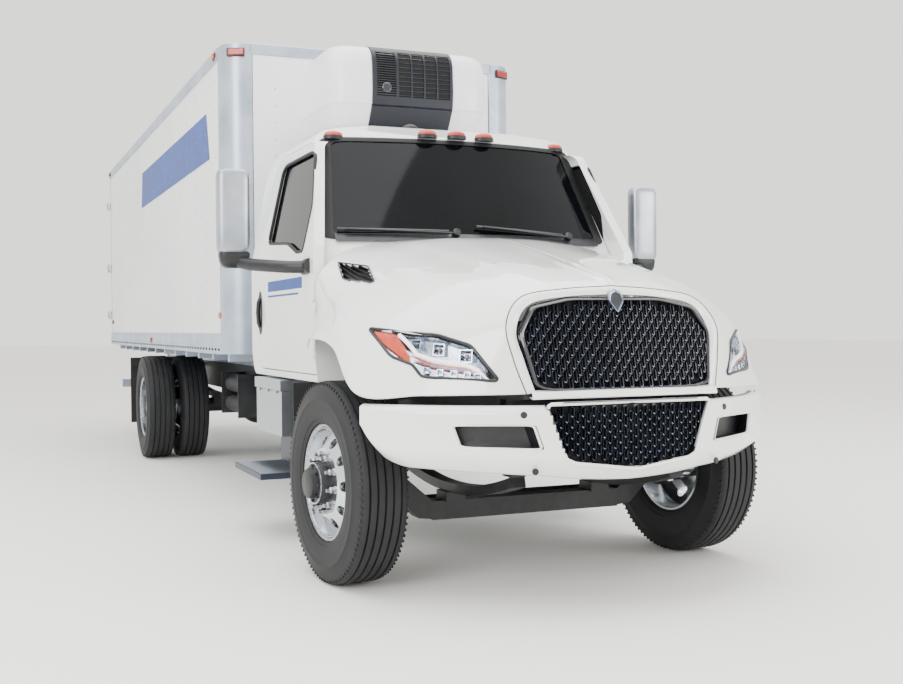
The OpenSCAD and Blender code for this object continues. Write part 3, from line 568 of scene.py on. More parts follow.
for s in (-1, 1):
    def place(u, v, lift, s=s):
        return hood_place(u, v, s, lift)
    fill(vents, VENT, place, 0.03)
    vents.tube([place(u, v, 0.002) for u, v in VENT + VENT[:1]], 0.004, 6)
    for k in range(5):
        u = 2.31 + 0.068 * k
        span = [v for v in (4.7 + 2.1 * m / 80 for m in range(81)) if inside(VENT, (u, v))]
        if len(span) > 3:
            rows = [[place(u - 0.024, v, -0.016), place(u + 0.006, v, 0.003), place(u + 0.012, v, 0.001),
                     place(u - 0.018, v, -0.018)] for v in (span[0], span[len(span) // 2], span[-1])]
            vents.grid(rows, closed=True, cap=True)
    # Small triangular intake beside the badge
    tri = [(0.32, 1.75), (0.46, 2.05), (0.62, 1.72)]
    fill(vents, tri, place, -0.0005)
vents.make("hood_vents", abs_black, "hood", "grille_black", smooth=False)

# ---- Grille ----
# A chrome-tipped honeycomb of upright slots, moulded in gloss black with bright metallised edges,
# set in a thin black frame inside the white surround.
gloss_black, tree, shader = material("gloss_black_plastic", "#12151d", 0.16, coat=0.6)
mottle(tree, shader, "#0d0f15", "#191d27", 60, 0.12, 0.24)
bright, tree, shader = material("metallised_edge", "#8d96a8", 0.24, 0.9)
mottle(tree, shader, "#768096", "#a2abba", 40, 0.14, 0.28)
# A near-black matt sheet used as painted shade: the shadow behind the grille's slots and the lower insert,
# inside the rail's punched slots and behind the cooling unit's louvres.
painted_shade_black, tree, shader = material("shadow_behind_grille", "#050608", 0.9)
mottle(tree, shader, "#040506", "#0a0b0d", 60, 0.8, 0.95)
GRILLE = rounded([(-0.437, 0.393), (-0.245, 0.434), (0.245, 0.434), (0.437, 0.393), (0.514, 0.270),
                  (0.464, 0.002),
                  (-0.464, 0.002), (-0.514, 0.270)], 0.14)
LEAN = math.atan2(105, 390)


def grille_place(x, h, out=0.0):
    """A point on the grille's face: x across, h up the face, out towards the road."""
    bulge = 0.020 * (1 - (x / 0.514) ** 2)
    f = -1.066 + h * math.sin(LEAN) - (out + bulge) * math.cos(LEAN)
    return at(x, f, 1.012 + h * math.cos(LEAN) - out * math.sin(LEAN))


def slots(rings, tips, outline, place, pitch_x, pitch_h, width, length, depth, low, high):
    """Staggered upright slots: each is a raised ring with a bright lower end."""
    columns = int((high[0] - low[0]) / pitch_x)
    for c in range(columns + 1):
        x = low[0] + pitch_x * c
        for k in range(int((high[1] - low[1]) / pitch_h) + 2):
            h = low[1] + pitch_h * (k + 0.5 * (c % 2))
            if not all(inside(outline, (x + dx, h + dh)) for dx in (-width * .6, width * .6)
                       for dh in (-length / 2, length / 2)):
                continue
            ring_in, ring_out = [], []
            r = width / 2
            for i in range(12):
                t = 2 * math.pi * i / 12
                ex, eh = math.cos(t), math.sin(t)
                shift = (length / 2 - r) * (1 if eh >= 0 else -1)
                ring_in.append((x + ex * r * 0.72, h + shift + eh * r * 0.72))
                ring_out.append((x + ex * (r + 0.0035), h + shift + eh * (r + 0.0035)))
            rings.grid([[place(a, b, -depth) for a, b in ring_in], [place(a, b, -0.001) for a,
                                                                    b in ring_in],
                        [place(a, b, 0.003) for a, b in
                         [((p[0] + q[0]) / 2, (p[1] + q[1]) / 2) for p, q in zip(ring_in, ring_out)]],
                        [place(a, b, -0.002) for a, b in ring_out], [place(a, b, -depth) for a,
                                                                     b in ring_out]], closed=True)
            b = h - length / 2
            tips.grid([[place(x - r * 0.8, b + r * 1.0, 0.0034), place(x, b + r * 0.25, 0.0042),
                        place(x + r * 0.8, b + r * 1.0, 0.0034)],
                       [place(x - r * 1.0, b + r * 0.7, 0.001), place(x, b - r * 0.3, 0.001),
                        place(x + r * 1.0, b + r * 0.7, 0.001)]])


rings, tips, back = Bits(), Bits(), Bits()
slots(rings, tips, GRILLE, grille_place, 0.0262, 0.062, 0.0165, 0.056, 0.024, (-0.498, -0.03), (0.50, 0.44))
rings.grid([[grille_place(x * k, 0.2 + (h - 0.2) * k, d) for x, h in GRILLE]
            for k, d in ((0.965, -0.026), (0.965, 0.004), (0.985, 0.008), (0.999, 0.003), (0.999, -0.026))],
           closed=True)
made = rings.make("grille_slots", gloss_black, "hood", "grille_black")
tips.make("grille_bright_tips", bright, "hood", "grille_black")
back.points = [tuple(grille_place(x * 0.985, 0.2 + (h - 0.2) * 0.985, -0.028)) for x, h in GRILLE]
back.points.append(tuple(grille_place(0, 0.2, -0.028)))
n = len(GRILLE)
back.faces = [((k + 1) % n, k, n) for k in range(n)]
shade = back.make("grille_shade", painted_shade_black, "hood", "grille_black")
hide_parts("grille")
# The surround closes under the grille in a painted sill
sill = Bits()
sill.grid([[grille_place(-0.492 + 0.984 * k / 30, h, d) for k in range(31)]
           for h, d in ((-0.002, -0.02), (-0.002, 0.008), (-0.008, 0.014), (-0.030, 0.014), (-0.036, 0.008),
                        (-0.036, -0.03))])
sill.make("surround_sill", white, "hood", "white_paint")
# Plain chromed badge: a small shield with a smooth dark field, no mark on it
badge, field = Bits(), Bits()
shield = [(0.0, 0.482), (0.030, 0.468), (0.042, 0.425), (0.0, 0.360), (-0.042, 0.425), (-0.030, 0.468)]
badge.grid([[grille_place(x * k, 0.42 + (h - 0.42) * k, d) for x, h in rounded(shield, 0.2)]
            for k, d in ((1.0, -0.01), (1.0, 0.010), (0.93, 0.016), (0.80, 0.015), (0.78, 0.010))],
           closed=True)
badge.make("badge_rim", bright, "hood", "grille_black")
field.points = [tuple(grille_place(x * 0.8, 0.42 + (h - 0.42) * 0.8, 0.011)) for x,
                h in rounded(shield, 0.2)]
field.faces = [tuple(reversed(range(len(field.points))))]
field.make("badge_field", gloss_black, "hood", "grille_black", smooth=False)

# ---- Headlights ----
# LED lamps: a clear hard-coated polycarbonate lens over metallised reflector cups, an amber outer
# strip and an L-shaped white light guide, in a dark moulded bezel.
clear, tree, shader = material("clear_polycarbonate", "#f4f8fb", 0.03)
shader.inputs["Transmission Weight"].default_value = 0.97
shader.inputs["IOR"].default_value = 1.2
shader.inputs["Alpha"].default_value = 0.32
tint = add(tree, "ShaderNodeTexNoise", {"Scale": 40.0},
           Vector=add(tree, "ShaderNodeTexCoord").outputs["Object"])
gloss = add(tree, "ShaderNodeMapRange", {"To Min": 0.02, "To Max": 0.06}, Value=tint.outputs["Fac"])
tree.links.new(gloss.outputs["Result"], shader.inputs["Roughness"])
cup, tree, shader = material("metallised_reflector", "#c3cfde", 0.12, 1.0)
mottle(tree, shader, "#a9b6c9", "#dde5ee", 25, 0.08, 0.2)
amber, tree, shader = material("amber_polycarbonate", "#c8321a", 0.14, coat=0.3)
mottle(tree, shader, "#b92a12", "#d54a22", 35, 0.08, 0.2)
guide, tree, shader = material("white_light_guide", "#f7fbff", 0.2)
mottle(tree, shader, "#eef4fa", "#ffffff", 50, 0.15, 0.25)
shader.inputs["Emission Color"].default_value = srgb("#ffffff")
shader.inputs["Emission Strength"].default_value = 0.7
bezels, cups, ambers, guides, lenses, lamp_dark = Bits(), Bits(), Bits(), Bits(), Bits(), Bits()


def between(a, b, t):
    return (a[0] + (b[0] - a[0]) * t, a[1] + (b[1] - a[1]) * t)


def lamp_at(e, f):
    """A point of the lamp: e from its inner end outward, f from its top edge down."""
    top = [(4.34, 1.72), (3.62, 2.10), (3.36, 2.70), (3.40, 3.30), (3.45, 3.86)]
    low = [(4.62, 1.62), (4.56, 2.20), (4.50, 2.92), (4.10, 3.34), (3.52, 3.90)]
    k = min(int(e * 4), 3)
    return between(between(top[k], top[k + 1], e * 4 - k), between(low[k], low[k + 1], e * 4 - k), f)


for s in (-1, 1):
    def place(u, v, lift, s=s):
        return hood_place(u, v, s, lift)
    fill(bezels, LAMP, place, 0.055)
    bezels.tube([place(u, v, 0.001) for u, v in LAMP + LAMP[:1]], 0.0075, 8)
    lens = [[place(4.0 + (u - 4.0) * k, 2.75 + (v - 2.75) * k, 0.004 + 0.008 * (1 - k * k)) for u,
             v in LAMP]
            for k in (0.99, 0.8, 0.6, 0.4, 0.2, 0.04)]
    lenses.grid(lens, closed=True)
    # Amber strip down the outer end and along under the guide
    rows = []
    for k in range(13):
        t = k / 12
        a, b = lamp_at(0.985 - 0.02 * t, 0.05 + 0.9 * t), lamp_at(0.80 - 0.16 * t, 0.05 + 0.86 * t)
        rows.append([place(*a, -0.012), place(*a, -0.004), place(*b, -0.004), place(*b, -0.012)])
    ambers.grid(rows, closed=True, cap=True)
    rows = []
    for k in range(17):
        e = 0.66 - 0.50 * k / 16
        rows.append([place(*lamp_at(e, 0.63), -0.012), place(*lamp_at(e, 0.63), -0.005),
                     place(*lamp_at(e, 0.675), -0.005),
                     place(*lamp_at(e, 0.675), -0.012)])
    ambers.grid(rows, closed=True, cap=True)
    # White light guide: down beside the amber, then inward
    path = [lamp_at(0.775 - 0.135 * k / 6, 0.04 + 0.44 * k / 6) for k in range(7)]
    path += [lamp_at(0.62 - 0.48 * k / 12, 0.55 + 0.01 * k / 12) for k in range(13)]
    guides.tube([place(*p, -0.006) for p in path], 0.0105, 10)
    guides.tube([place(*lamp_at(0.14 - 0.07 * k / 5, 0.55 + 0.38 * k / 5), -0.008) for k in range(6)],
                0.006, 8)
    # Three projector cups above, five small ones below
    for e, size in ((0.64, 0.030), (0.46, 0.033), (0.27, 0.036)):
        mid = place(*lamp_at(e, 0.28), -0.008)
        deep = place(*lamp_at(e, 0.28), -0.045)
        out = (mid - deep).normalized()
        cups.turn([(size * 1.2, 0.0), (size * 1.02, 0.0), (size * 0.9, -0.012), (size * 0.6, -0.026),
                   (size * 0.3, -0.032)],
                  mid, out, 4, cap=False)
        lamp_dark.turn([(size * 0.34, -0.030), (size * 0.34, -0.016), (size * 0.2, -0.010)], mid, out, 16)
    for k in range(5):
        e = 0.17 + 0.085 * k
        mid = place(*lamp_at(e, 0.84), -0.008)
        out = (mid - place(*lamp_at(e, 0.84), -0.045)).normalized()
        cups.turn([(0.021, 0.0), (0.018, 0.0), (0.014, -0.012), (0.006, -0.018)], mid, out, 4, cap=False)
    rows = [[place(*lamp_at(0.05 + 0.86 * k / 24, 0.02), -0.010),
             place(*lamp_at(0.05 + 0.86 * k / 24, 0.10), -0.030),
             place(*lamp_at(0.05 + 0.86 * k / 24, 0.5), -0.040),
             place(*lamp_at(0.05 + 0.86 * k / 24, 0.72), -0.030),
             place(*lamp_at(0.05 + 0.86 * k / 24, 0.97), -0.014)] for k in range(25)]
    cups.grid(rows)
bezels.make("lamp_bezels", abs_black, "hood", "lamp_glass")
cups.make("lamp_reflectors", cup, "hood", "lamp_glass", smooth=False)
ambers.make("lamp_amber_strips", amber, "hood", "lamp_glass")
guides.make("lamp_light_guides", guide, "hood", "lamp_glass")
lamp_dark.make("lamp_projectors", gloss_black, "hood", "lamp_glass")
made = lenses.make("lamp_lenses", clear, "hood", "lamp_glass")
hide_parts("headlights")

# ---- Front bumper ----
# A moulded bumper skin painted with the body, about 8 mm thick, bowed across the truck and swept up
# at its lower corners, with fog lamp recesses and parking sensors.
EDGE = [np.array(p) / 1000 for p in ([0, -1157], [445, -1106], [700, -990], [930, -820], [1080, -660],
                                     [1128, -575])]


def bumper_point(t, h, lift=0.0):
    """A point on the left half: t from the middle out along the edge, h from the lower edge up."""
    e = at_row(EDGE, t)
    ahead, behind = at_row(EDGE, min(5, t + 0.05)), at_row(EDGE, max(0, t - 0.05))
    d = (ahead - behind) / np.linalg.norm(ahead - behind)
    if t < 0.06:
        d = np.array((1.0, 0.0))
    low = 0.596 + 0.030 * min(1, (e[0] / 0.42) ** 2) + 0.040 * max(0.0, (e[0] - 0.42) / 0.7)
    low += 0.15 * max(0.0, (t - 3.3) / 1.7) ** 1.6
    z = low + (0.950 - low) * h
    # A soft shoulder at the top and a chin that tucks under
    out = lift + 0.006 - 0.030 * max(0.0,
                                     (h - 0.86) / 0.14) ** 2.2 - 0.075 * max(0.0, (0.30 - h) / 0.30) ** 1.6
    return np.array((e[0] + d[1] * out, e[1] - d[0] * out, z))


def bumper_place(t, h, s, lift=0.0):
    p = bumper_point(t, h, lift)
    return at(s * p[0], p[1], p[2])


FOG = rounded([(0.490, 0.867), (0.812, 0.866), (0.780, 0.760), (0.452, 0.750)], 0.12)
INSERT = rounded([(-0.437, 0.960), (0.437, 0.960), (0.345, 0.705), (0.300, 0.685), (0.0, 0.648),
                  (-0.300, 0.685),
                  (-0.345, 0.705)], 0.1)
bits = Bits()
BT, BH = 150, 56
for s in (-1, 1):
    start = len(bits.points)
    spots = [[bumper_point(5 * i / BT, j / BH) for i in range(BT + 1)] for j in range(BH + 1)]
    bits.points += [tuple(at(s * p[0], p[1], p[2])) for row in spots for p in row]
    for j in range(BH):
        for i in range(BT):
            mid = (spots[j][i] + spots[j + 1][i + 1]) / 2
            if inside(FOG, (mid[0], mid[2])) or inside(INSERT, (mid[0], mid[2])):
                continue
            a = start + j * (BT + 1) + i
            quad = (a, a + 1, a + BT + 2, a + BT + 1)
            bits.faces.append(quad if s > 0 else quad[::-1])
bumper = bits.make("bumper_skin", white, "root", "white_paint")
weld = bumper.modifiers.new("weld", "WELD")
weld.merge_threshold = 0.0005
thicken = bumper.modifiers.new("skin", "SOLIDIFY")
thicken.thickness = 0.012
thicken.offset = -1
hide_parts("front_bumper")


def face_y(x, z, back=0.0):
    """Where the bumper's face stands at a given x, moved back from the road."""
    x = abs(x)
    for k in range(len(EDGE) - 1):
        if x <= EDGE[k + 1][0]:
            f = (x - EDGE[k][0]) / (EDGE[k + 1][0] - EDGE[k][0])
            break
    y = at_row(EDGE, k + f)[1]
    return at(0, y + back, z).y


recess = Bits()
for s in (-1, 1):
    rows = [[Vector((s * (0.63 + (x - 0.63) * k), face_y(0.63 + (x - 0.63) * k, z, d),
                     0.81 + (z - 0.81) * k))
             for x, z in FOG] for k, d in ((1.03, -0.010), (1.0, -0.012), (0.97, 0.0), (0.90, 0.07),
                                           (0.3, 0.075), (0.02, 0.075))]
    recess.grid(rows, closed=True)
    for x, z, t in ((0.535, 0.909, 1.38), (0.483, 0.655, 1.16)):
        spot = Vector((s * x, face_y(x, z, -0.012 if z > 0.8 else 0.002), z))
        recess.turn([(0.0155, -0.006), (0.0155, 0.002), (0.013, 0.004), (0.001, 0.004)], spot,
                    (s * 0.35, -0.93, 0), 20)
recess.make("fog_recesses", abs_black, "root", "grille_black")
# Rolled edges of the skin round its openings
rolls = Bits()
for s in (-1, 1):
    rolls.tube([Vector((s * x, face_y(x, z, -0.003), z)) for x, z in FOG + FOG[:1]], 0.0085, 10)
rolls.tube([Vector((x, face_y(x, z, -0.003), z)) for x, z in INSERT[::-1] if z < 0.955], 0.009, 10)
rolls.make("bumper_rolled_edges", white, "root", "white_paint")

# ---- Lower grille insert ----
# The same upright-slot moulding as the grille above, in gloss black, filling the bumper's V.


def insert_place(x, z, out=0.0):
    return Vector((x, face_y(x, z, 0.012 - out), z))


rings, tips = Bits(), Bits()
slots(rings, tips, INSERT, insert_place, 0.0262, 0.050, 0.0165, 0.045, 0.020, (-0.438, 0.64), (0.44, 0.96))
rings.grid([[insert_place(x * k, 0.81 + (z - 0.81) * k, d) for x, z in INSERT]
            for k, d in ((1.02, -0.02), (1.012, 0.010), (0.985, 0.016), (0.965, 0.006), (0.965, -0.024))],
           closed=True)
made = rings.make("insert_slots", gloss_black, "root", "grille_black")
tips.make("insert_bright_tips", bright, "root", "grille_black")
shade = Bits()
shade.grid([[insert_place(-0.445 + 0.89 * i / 30, z, -0.022)
             if abs(-0.445 + 0.89 * i / 30) < 0.345 + (z - 0.66) * 0.34
             else insert_place(math.copysign(0.345 + (z - 0.66) * 0.34, i - 15), z, -0.022)
             for i in range(31)]
            for z in (0.66, 0.75, 0.85, 0.95)])
shade.make("insert_shade", painted_shade_black, "root", "grille_black")
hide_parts("bumper_grille")
# Dark filler between the bumper's top and the hood
filler = Bits()
for s, depths in ((1, (-0.03, -0.055)), (-1, (-0.055, -0.03))):
    filler.grid([[bumper_place(4.7 * k / 40, 0.985, s, d) for k in range(41)] for d in depths])
filler.make("bumper_top_filler", abs_black, "root", "grille_black")

# ---- Cab ----
# A welded steel cab, primed and painted white; its doors are the same pressing and paint. Dark
# tinted glass sits in black rubber, with a black ceramic band round the windshield.
dress(white, "cab_shell", "door_right", "door_left")
tinted, tree, shader = material("tinted_glass", "#06080c", 0.04)
shader.inputs["IOR"].default_value = 1.28
shader.inputs["Alpha"].default_value = 0.9
mottle(tree, shader, "#050709", "#090c11", 500, 0.03, 0.07)
dress(tinted, "cab_glass", "door_glass_right", "door_glass_left")
LEAN_SCREEN, SCREEN_R = math.radians(30.4), 3.0


def screen(x, z, out=0.0):
    ly = SCREEN_R - math.sqrt(SCREEN_R ** 2 - x * x) - out
    w = (z - 1.815 + ly * math.sin(LEAN_SCREEN)) / math.cos(LEAN_SCREEN)
    return at(x, 0.545 + ly * math.cos(LEAN_SCREEN) + w * math.sin(LEAN_SCREEN), z)


def cab_x(z):
    """Half the cab's width at a height."""
    return 1.030 if z < 1.74 else 1.030 - 0.125 * (z - 1.74) / 0.655


band = Bits()
frit = rounded([(-0.895, 1.818), (0.895, 1.818), (0.805, 2.452), (-0.805, 2.452)], 0.06, 8)


def dense(outline, steps=10):
    """The outline with extra points along its long sides, so that it can follow a curved face."""
    out = []
    for k, q in enumerate(outline):
        p = outline[k - 1]
        n = steps if math.dist(p, q) > 0.2 else 1
        out += [(p[0] + (q[0] - p[0]) * i / n, p[1] + (q[1] - p[1]) * i / n) for i in range(1, n + 1)]
    return out


frit = dense(frit, 16)
band.grid([[screen(x * kx, 2.135 + (z - 2.135) * kz, d) for x, z in frit]
           for kx, kz, d in ((1.045, 1.020, -0.004), (1.045, 1.020, 0.004), (1.03, 1.0, 0.006),
                             (0.965, 0.935, 0.002),
                             (0.965, 0.935, -0.004))], closed=True)
for s in (-1, 1):
    seal = dense(rounded([(0.885, 2.345), (0.720, 2.010), (0.760, 1.745), (0.900, 1.745), (1.150, 1.815),
                          (1.680, 1.850),
                          (1.610, 2.345)], 0.14, 6), 8)
    ring = [at(s * (cab_x(z) - 0.006), y, z) for y, z in seal]
    band.tube(ring + ring[:1], 0.011, 8)
band.make("window_rubber", seam_rubber, "root", "dark_glass")
# Black cowl panel at the foot of the windshield, with its wipers
wipers = Bits()
wipers.grid([[screen(-0.86 + 1.72 * k / 24, 1.800, 0.02) for k in range(25)],
             [screen(-0.86 + 1.72 * k / 24, 1.842, 0.014) for k in range(25)],
             [screen(-0.86 + 1.72 * k / 24, 1.848, 0.004) for k in range(25)]])
for x0, x1, z1 in ((-0.16, -0.80, 1.872), (0.62, 0.02, 1.895)):
    wipers.tube([screen(x0 + (x1 - x0) * k / 10, 1.850 + (z1 - 1.850) * k / 10, 0.030) for k in range(11)],
                0.007, 8)
    wipers.tube([screen(x0 + (x1 - x0) * k / 10 - 0.04, 1.862 + (z1 - 1.862) * k / 10, 0.016)
                 for k in range(11)], 0.009, 6)
    wipers.turn([(0.024, -0.01), (0.024, 0.02), (0.014, 0.03)], screen(x0, 1.850, 0.02), (0, -0.85, 0.5),
                20)
wipers.make("cowl_and_wipers", abs_black, "root", "cab_plastic")

# ---- Roof lamps ----
# Five small clearance lamps: amber-red polycarbonate domes on chromed bases.
red_amber, tree, shader = material("red_amber_polycarbonate", "#b8280f", 0.2, coat=0.2)
mottle(tree, shader, "#aa220c", "#c83a18", 30, 0.1, 0.2)
domes, bases = Bits(), Bits()
for x, y, z in ((-0.752, 1.015, 2.473), (0.752, 1.015, 2.473), (-0.191, 0.887, 2.491),
                (0.191, 0.887, 2.491), (0, 0.876, 2.492)):
    spot = at(x, y + 0.03, z - 0.012)
    for bits, rings_of in ((bases, [(1.05, -0.02), (1.05, 0.004), (1.0, 0.008)]),
                           (domes, [(1.0, 0.0), (0.98, 0.016), (0.85, 0.030), (0.6, 0.039),
                                    (0.25, 0.044)])):
        rows = [[spot + Vector((0.060 * r * math.cos(t), 0.042 * r * math.sin(t), h * 0.8))
                 for t in (2 * math.pi * k / 32 for k in range(32))] for r, h in rings_of]
        bits.grid(rows, closed=True, cap=True)
domes.make("roof_lamps", red_amber, "root", "lamp_glass")
bases.make("roof_lamp_bases", abs_black, "root", "cab_plastic")
aerial = Bits()
aerial.turn([(0.055, 0.0), (0.053, 0.02), (0.042, 0.036), (0.022, 0.045), (0.001, 0.047)],
            at(-0.16, 1.30, 2.568),
            (0, 0, 1), 28)
aerial.make("roof_aerial", abs_black, "root", "cab_plastic")

# ---- Door handles and band ----
# Oval recessed pulls moulded in black, and a plain blue vinyl band laid on each door.
blue, tree, shader = material("blue_vinyl", "#0b3f94", 0.5)
mottle(tree, shader, "#083886", "#0d469f", 200, 0.45, 0.55)
for s, side in ((-1, "right"), (1, "left")):
    pulls = Bits()
    ring = [(1.81 + 0.048 * math.cos(t), 1.405 + 0.135 * math.sin(t))
            for t in (2 * math.pi * k / 40 for k in range(40))]
    pulls.grid([[at(s * (1.030 + d), 1.81 + (y - 1.81) * k, 1.405 + (z - 1.405) * k) for y, z in ring]
                for k, d in ((1.06, -0.004), (1.06, 0.004), (0.96, 0.006), (0.86, 0.001), (0.70, 0.0),
                             (0.1, 0.0005))],
               closed=True, cap=True)
    pulls.tube([at(s * (1.030 + d), 1.81, z) for z, d in ((1.50, 0.002), (1.47, 0.014), (1.405, 0.018),
                                                          (1.34, 0.014),
                                                                  (1.31, 0.002))], 0.014, 10)
    pulls.make("door_pull_" + side, abs_black, "door_" + side, "cab_plastic")
    vinyl = Bits()
    for z0, z1, y0, y1 in ((1.535, 1.600, 0.78, 1.60), (1.500, 1.512, 0.86, 1.60)):
        rows = [[at(s * 1.0312, y0 + (y1 - y0) * k / 16, z0 + (z1 - z0) * m / 3) for k in range(17)]
                for m in range(4)]
        vinyl.grid(facing_out(rows, s))
    vinyl.make("door_band_" + side, blue, "door_" + side, "white_paint")

# ---- Mirrors ----
# Tall heads with a satin silver shell, silvered glass facing back, on curved black cast arms.
silver, tree, shader = material("satin_silver_shell", "#a9afb8", 0.34, 0.75)
mottle(tree, shader, "#9aa0aa", "#bcc2ca", 300, 0.28, 0.4)
silvered, tree, shader = material("silvered_glass", "#c7ced6", 0.03, 1.0)
mottle(tree, shader, "#bcc4ce", "#d2d8df", 400, 0.02, 0.05)


def slab_ring(cx, cy, hx, hy, z, s, power=4.0, n=40):
    out = []
    for k in range(n):
        t = 2 * math.pi * k / n
        c, q = math.cos(t), math.sin(t)
        out.append(at(s * (cx + hx * math.copysign(abs(c) ** (2 / power), c)),
                              cy + hy * math.copysign(abs(q) ** (2 / power), q), z))
    return out


for s, side in ((-1, "right"), (1, "left")):
    body = "door_" + side
    head, base, glassy = Bits(), Bits(), Bits()
    head.grid([slab_ring(1.384, 0.978, 0.094 * k, 0.056 * k, z, s) for z, k in
               ((1.742, 0.80), (1.75, 0.93), (1.77, 0.99), (1.80, 1.0), (2.16, 1.0), (2.195, 0.98),
                (2.215, 0.90), (2.224, 0.74))],
              closed=True, cap=True)
    base.grid([slab_ring(1.378, 0.980, 0.090 * k, 0.054 * k, z, s) for z, k in
               ((1.655, 0.55), (1.665, 0.78), (1.69, 0.93), (1.73, 1.0), (1.744, 0.98))], closed=True,
              cap=True)
    base.tube([at(s * x, y, z) for x, y, z in ((1.012, 0.640, 1.650), (1.060, 0.650, 1.648),
                                               (1.14, 0.700, 1.650),
              (1.22, 0.790, 1.660), (1.30, 0.890, 1.672), (1.355, 0.960, 1.690))], 0.036, 14)
    base.tube([at(s * x, y, z) for x, y, z in ((1.026, 0.61, 1.655), (1.034, 0.66, 1.652),
                                               (1.026, 0.72, 1.648))], 0.045, 10)
    glassy.grid([[at(s * x, 1.0345, z) for x in (1.312, 1.456)] for z in (1.90, 2.19)])
    glassy.grid([[at(s * x, 1.0345, z) for x in (1.312, 1.456)] for z in (1.775, 1.88)])
    made = head.make("mirror_shell_" + side, silver, body, "mirror_plastic")
    base.make("mirror_arm_" + side, abs_black, body, "mirror_plastic")
    glassy.make("mirror_glass_" + side, silvered, body, "mirror_plastic", smooth=False)
    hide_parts("mirror_" + side)

# ---- Cab interior ----
# Moulded charcoal dash and wheel, and foam seats in dark woven cloth on steel bases.
charcoal, tree, shader = material("charcoal_dash_plastic", "#2a2c30", 0.6)
mottle(tree, shader, "#26282b", "#303236", 120, 0.5, 0.7, 0.2, 2)
dress(charcoal, "dashboard")
wheel_skin, tree, shader = material("wheel_foam_skin", "#17181a", 0.5)
mottle(tree, shader, "#141517", "#1d1e21", 30, 0.42, 0.58, 0.2, 1.5)
dress(wheel_skin, "steering_wheel")
cloth, tree, shader = material("woven_seat_cloth", "#2b2d31", 0.9)
mottle(tree, shader, "#24262a", "#34373c", 25, 0.8, 0.95, 0.6, 1.2)
for s, side in ((-1, "right"), (1, "left")):
    base, pads = Bits(), Bits()

    def cushion(bits, x0, x1, levels, s=s):
        rows = [slab_ring((x0 + x1) / 2, (y0 + y1) / 2, (x1 - x0) / 2 * k, (y1 - y0) / 2, z, s, 4.0, 40)
                for (y0, y1), z, k in levels]
        bits.grid(rows, closed=True, cap=True)
    cushion(base, 0.20, 0.68, (((1.25, 1.68), 1.062, 0.9), ((1.23, 1.70), 1.10, 0.95),
                               ((1.23, 1.70), 1.296, 0.95)))
    cushion(pads, 0.18, 0.70, (((1.22, 1.70), 1.300, 0.94), ((1.19, 1.72), 1.325, 1.0),
                               ((1.19, 1.72), 1.39, 1.0),
                               ((1.21, 1.71), 1.418, 0.96), ((1.27, 1.66), 1.432, 0.8)))
    cushion(pads, 0.19, 0.69, (((1.67, 1.78), 1.438, 0.96), ((1.655, 1.80), 1.47, 1.0),
                               ((1.70, 1.84), 1.75, 1.0),
                               ((1.755, 1.89), 2.04, 0.96), ((1.79, 1.88), 2.09, 0.84)))
    cushion(pads, 0.30, 0.58, (((1.79, 1.88), 2.10, 0.9), ((1.785, 1.90), 2.13, 1.0),
                               ((1.805, 1.915), 2.24, 1.0),
                               ((1.83, 1.90), 2.268, 0.8)))
    base.make("seat_base_" + side, charcoal, "root", "cab_plastic")
    made = pads.make("seat_pads_" + side, cloth, "root", "seat_fabric")
    soften = made.modifiers.new("soften", "SUBSURF")
    soften.levels = soften.render_levels = 1
    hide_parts("seats")

# ---- Load box panels ----
# Insulated panels faced in white pre-painted aluminium sheet, riveted to posts every 400 mm; the
# skin is faintly wavy between the rows. Roof and front wall are the same sheet.
sheet, tree, shader = material("prepainted_white_sheet", "#eceef0", 0.38, coat=0.3)
mottle(tree, shader, "#e4e7ea", "#f3f4f5", 1500, 0.3, 0.46, 1.2, 420)
dress(sheet, "box_side_walls", "box_front_wall", "box_roof", "rear_door_right", "rear_door_left")
BOX_HALF, BOX_FRONT, BOX_BACK, BOX_LOW, BOX_TOP = 1.120, 2.440, 9.714, 1.120, 3.330
rivets = Bits()


def rivet(spot, out, r=0.0065):
    rivets.turn([(r, 0.0), (r * 0.85, r * 0.35), (r * 0.4, r * 0.6)], spot, out, 7)


for s in (-1, 1):
    for k in range(18):
        y = BOX_FRONT + 0.34 + 0.402 * k
        for m in range(17):
            rivet(at(s * BOX_HALF, y, 1.33 + 0.112 * m), (s, 0, 0))
for k in range(5):
    for m in range(16):
        rivet(at(-0.76 + 0.38 * k, BOX_FRONT, 1.22 + 0.12 * m), (0, -1, 0))

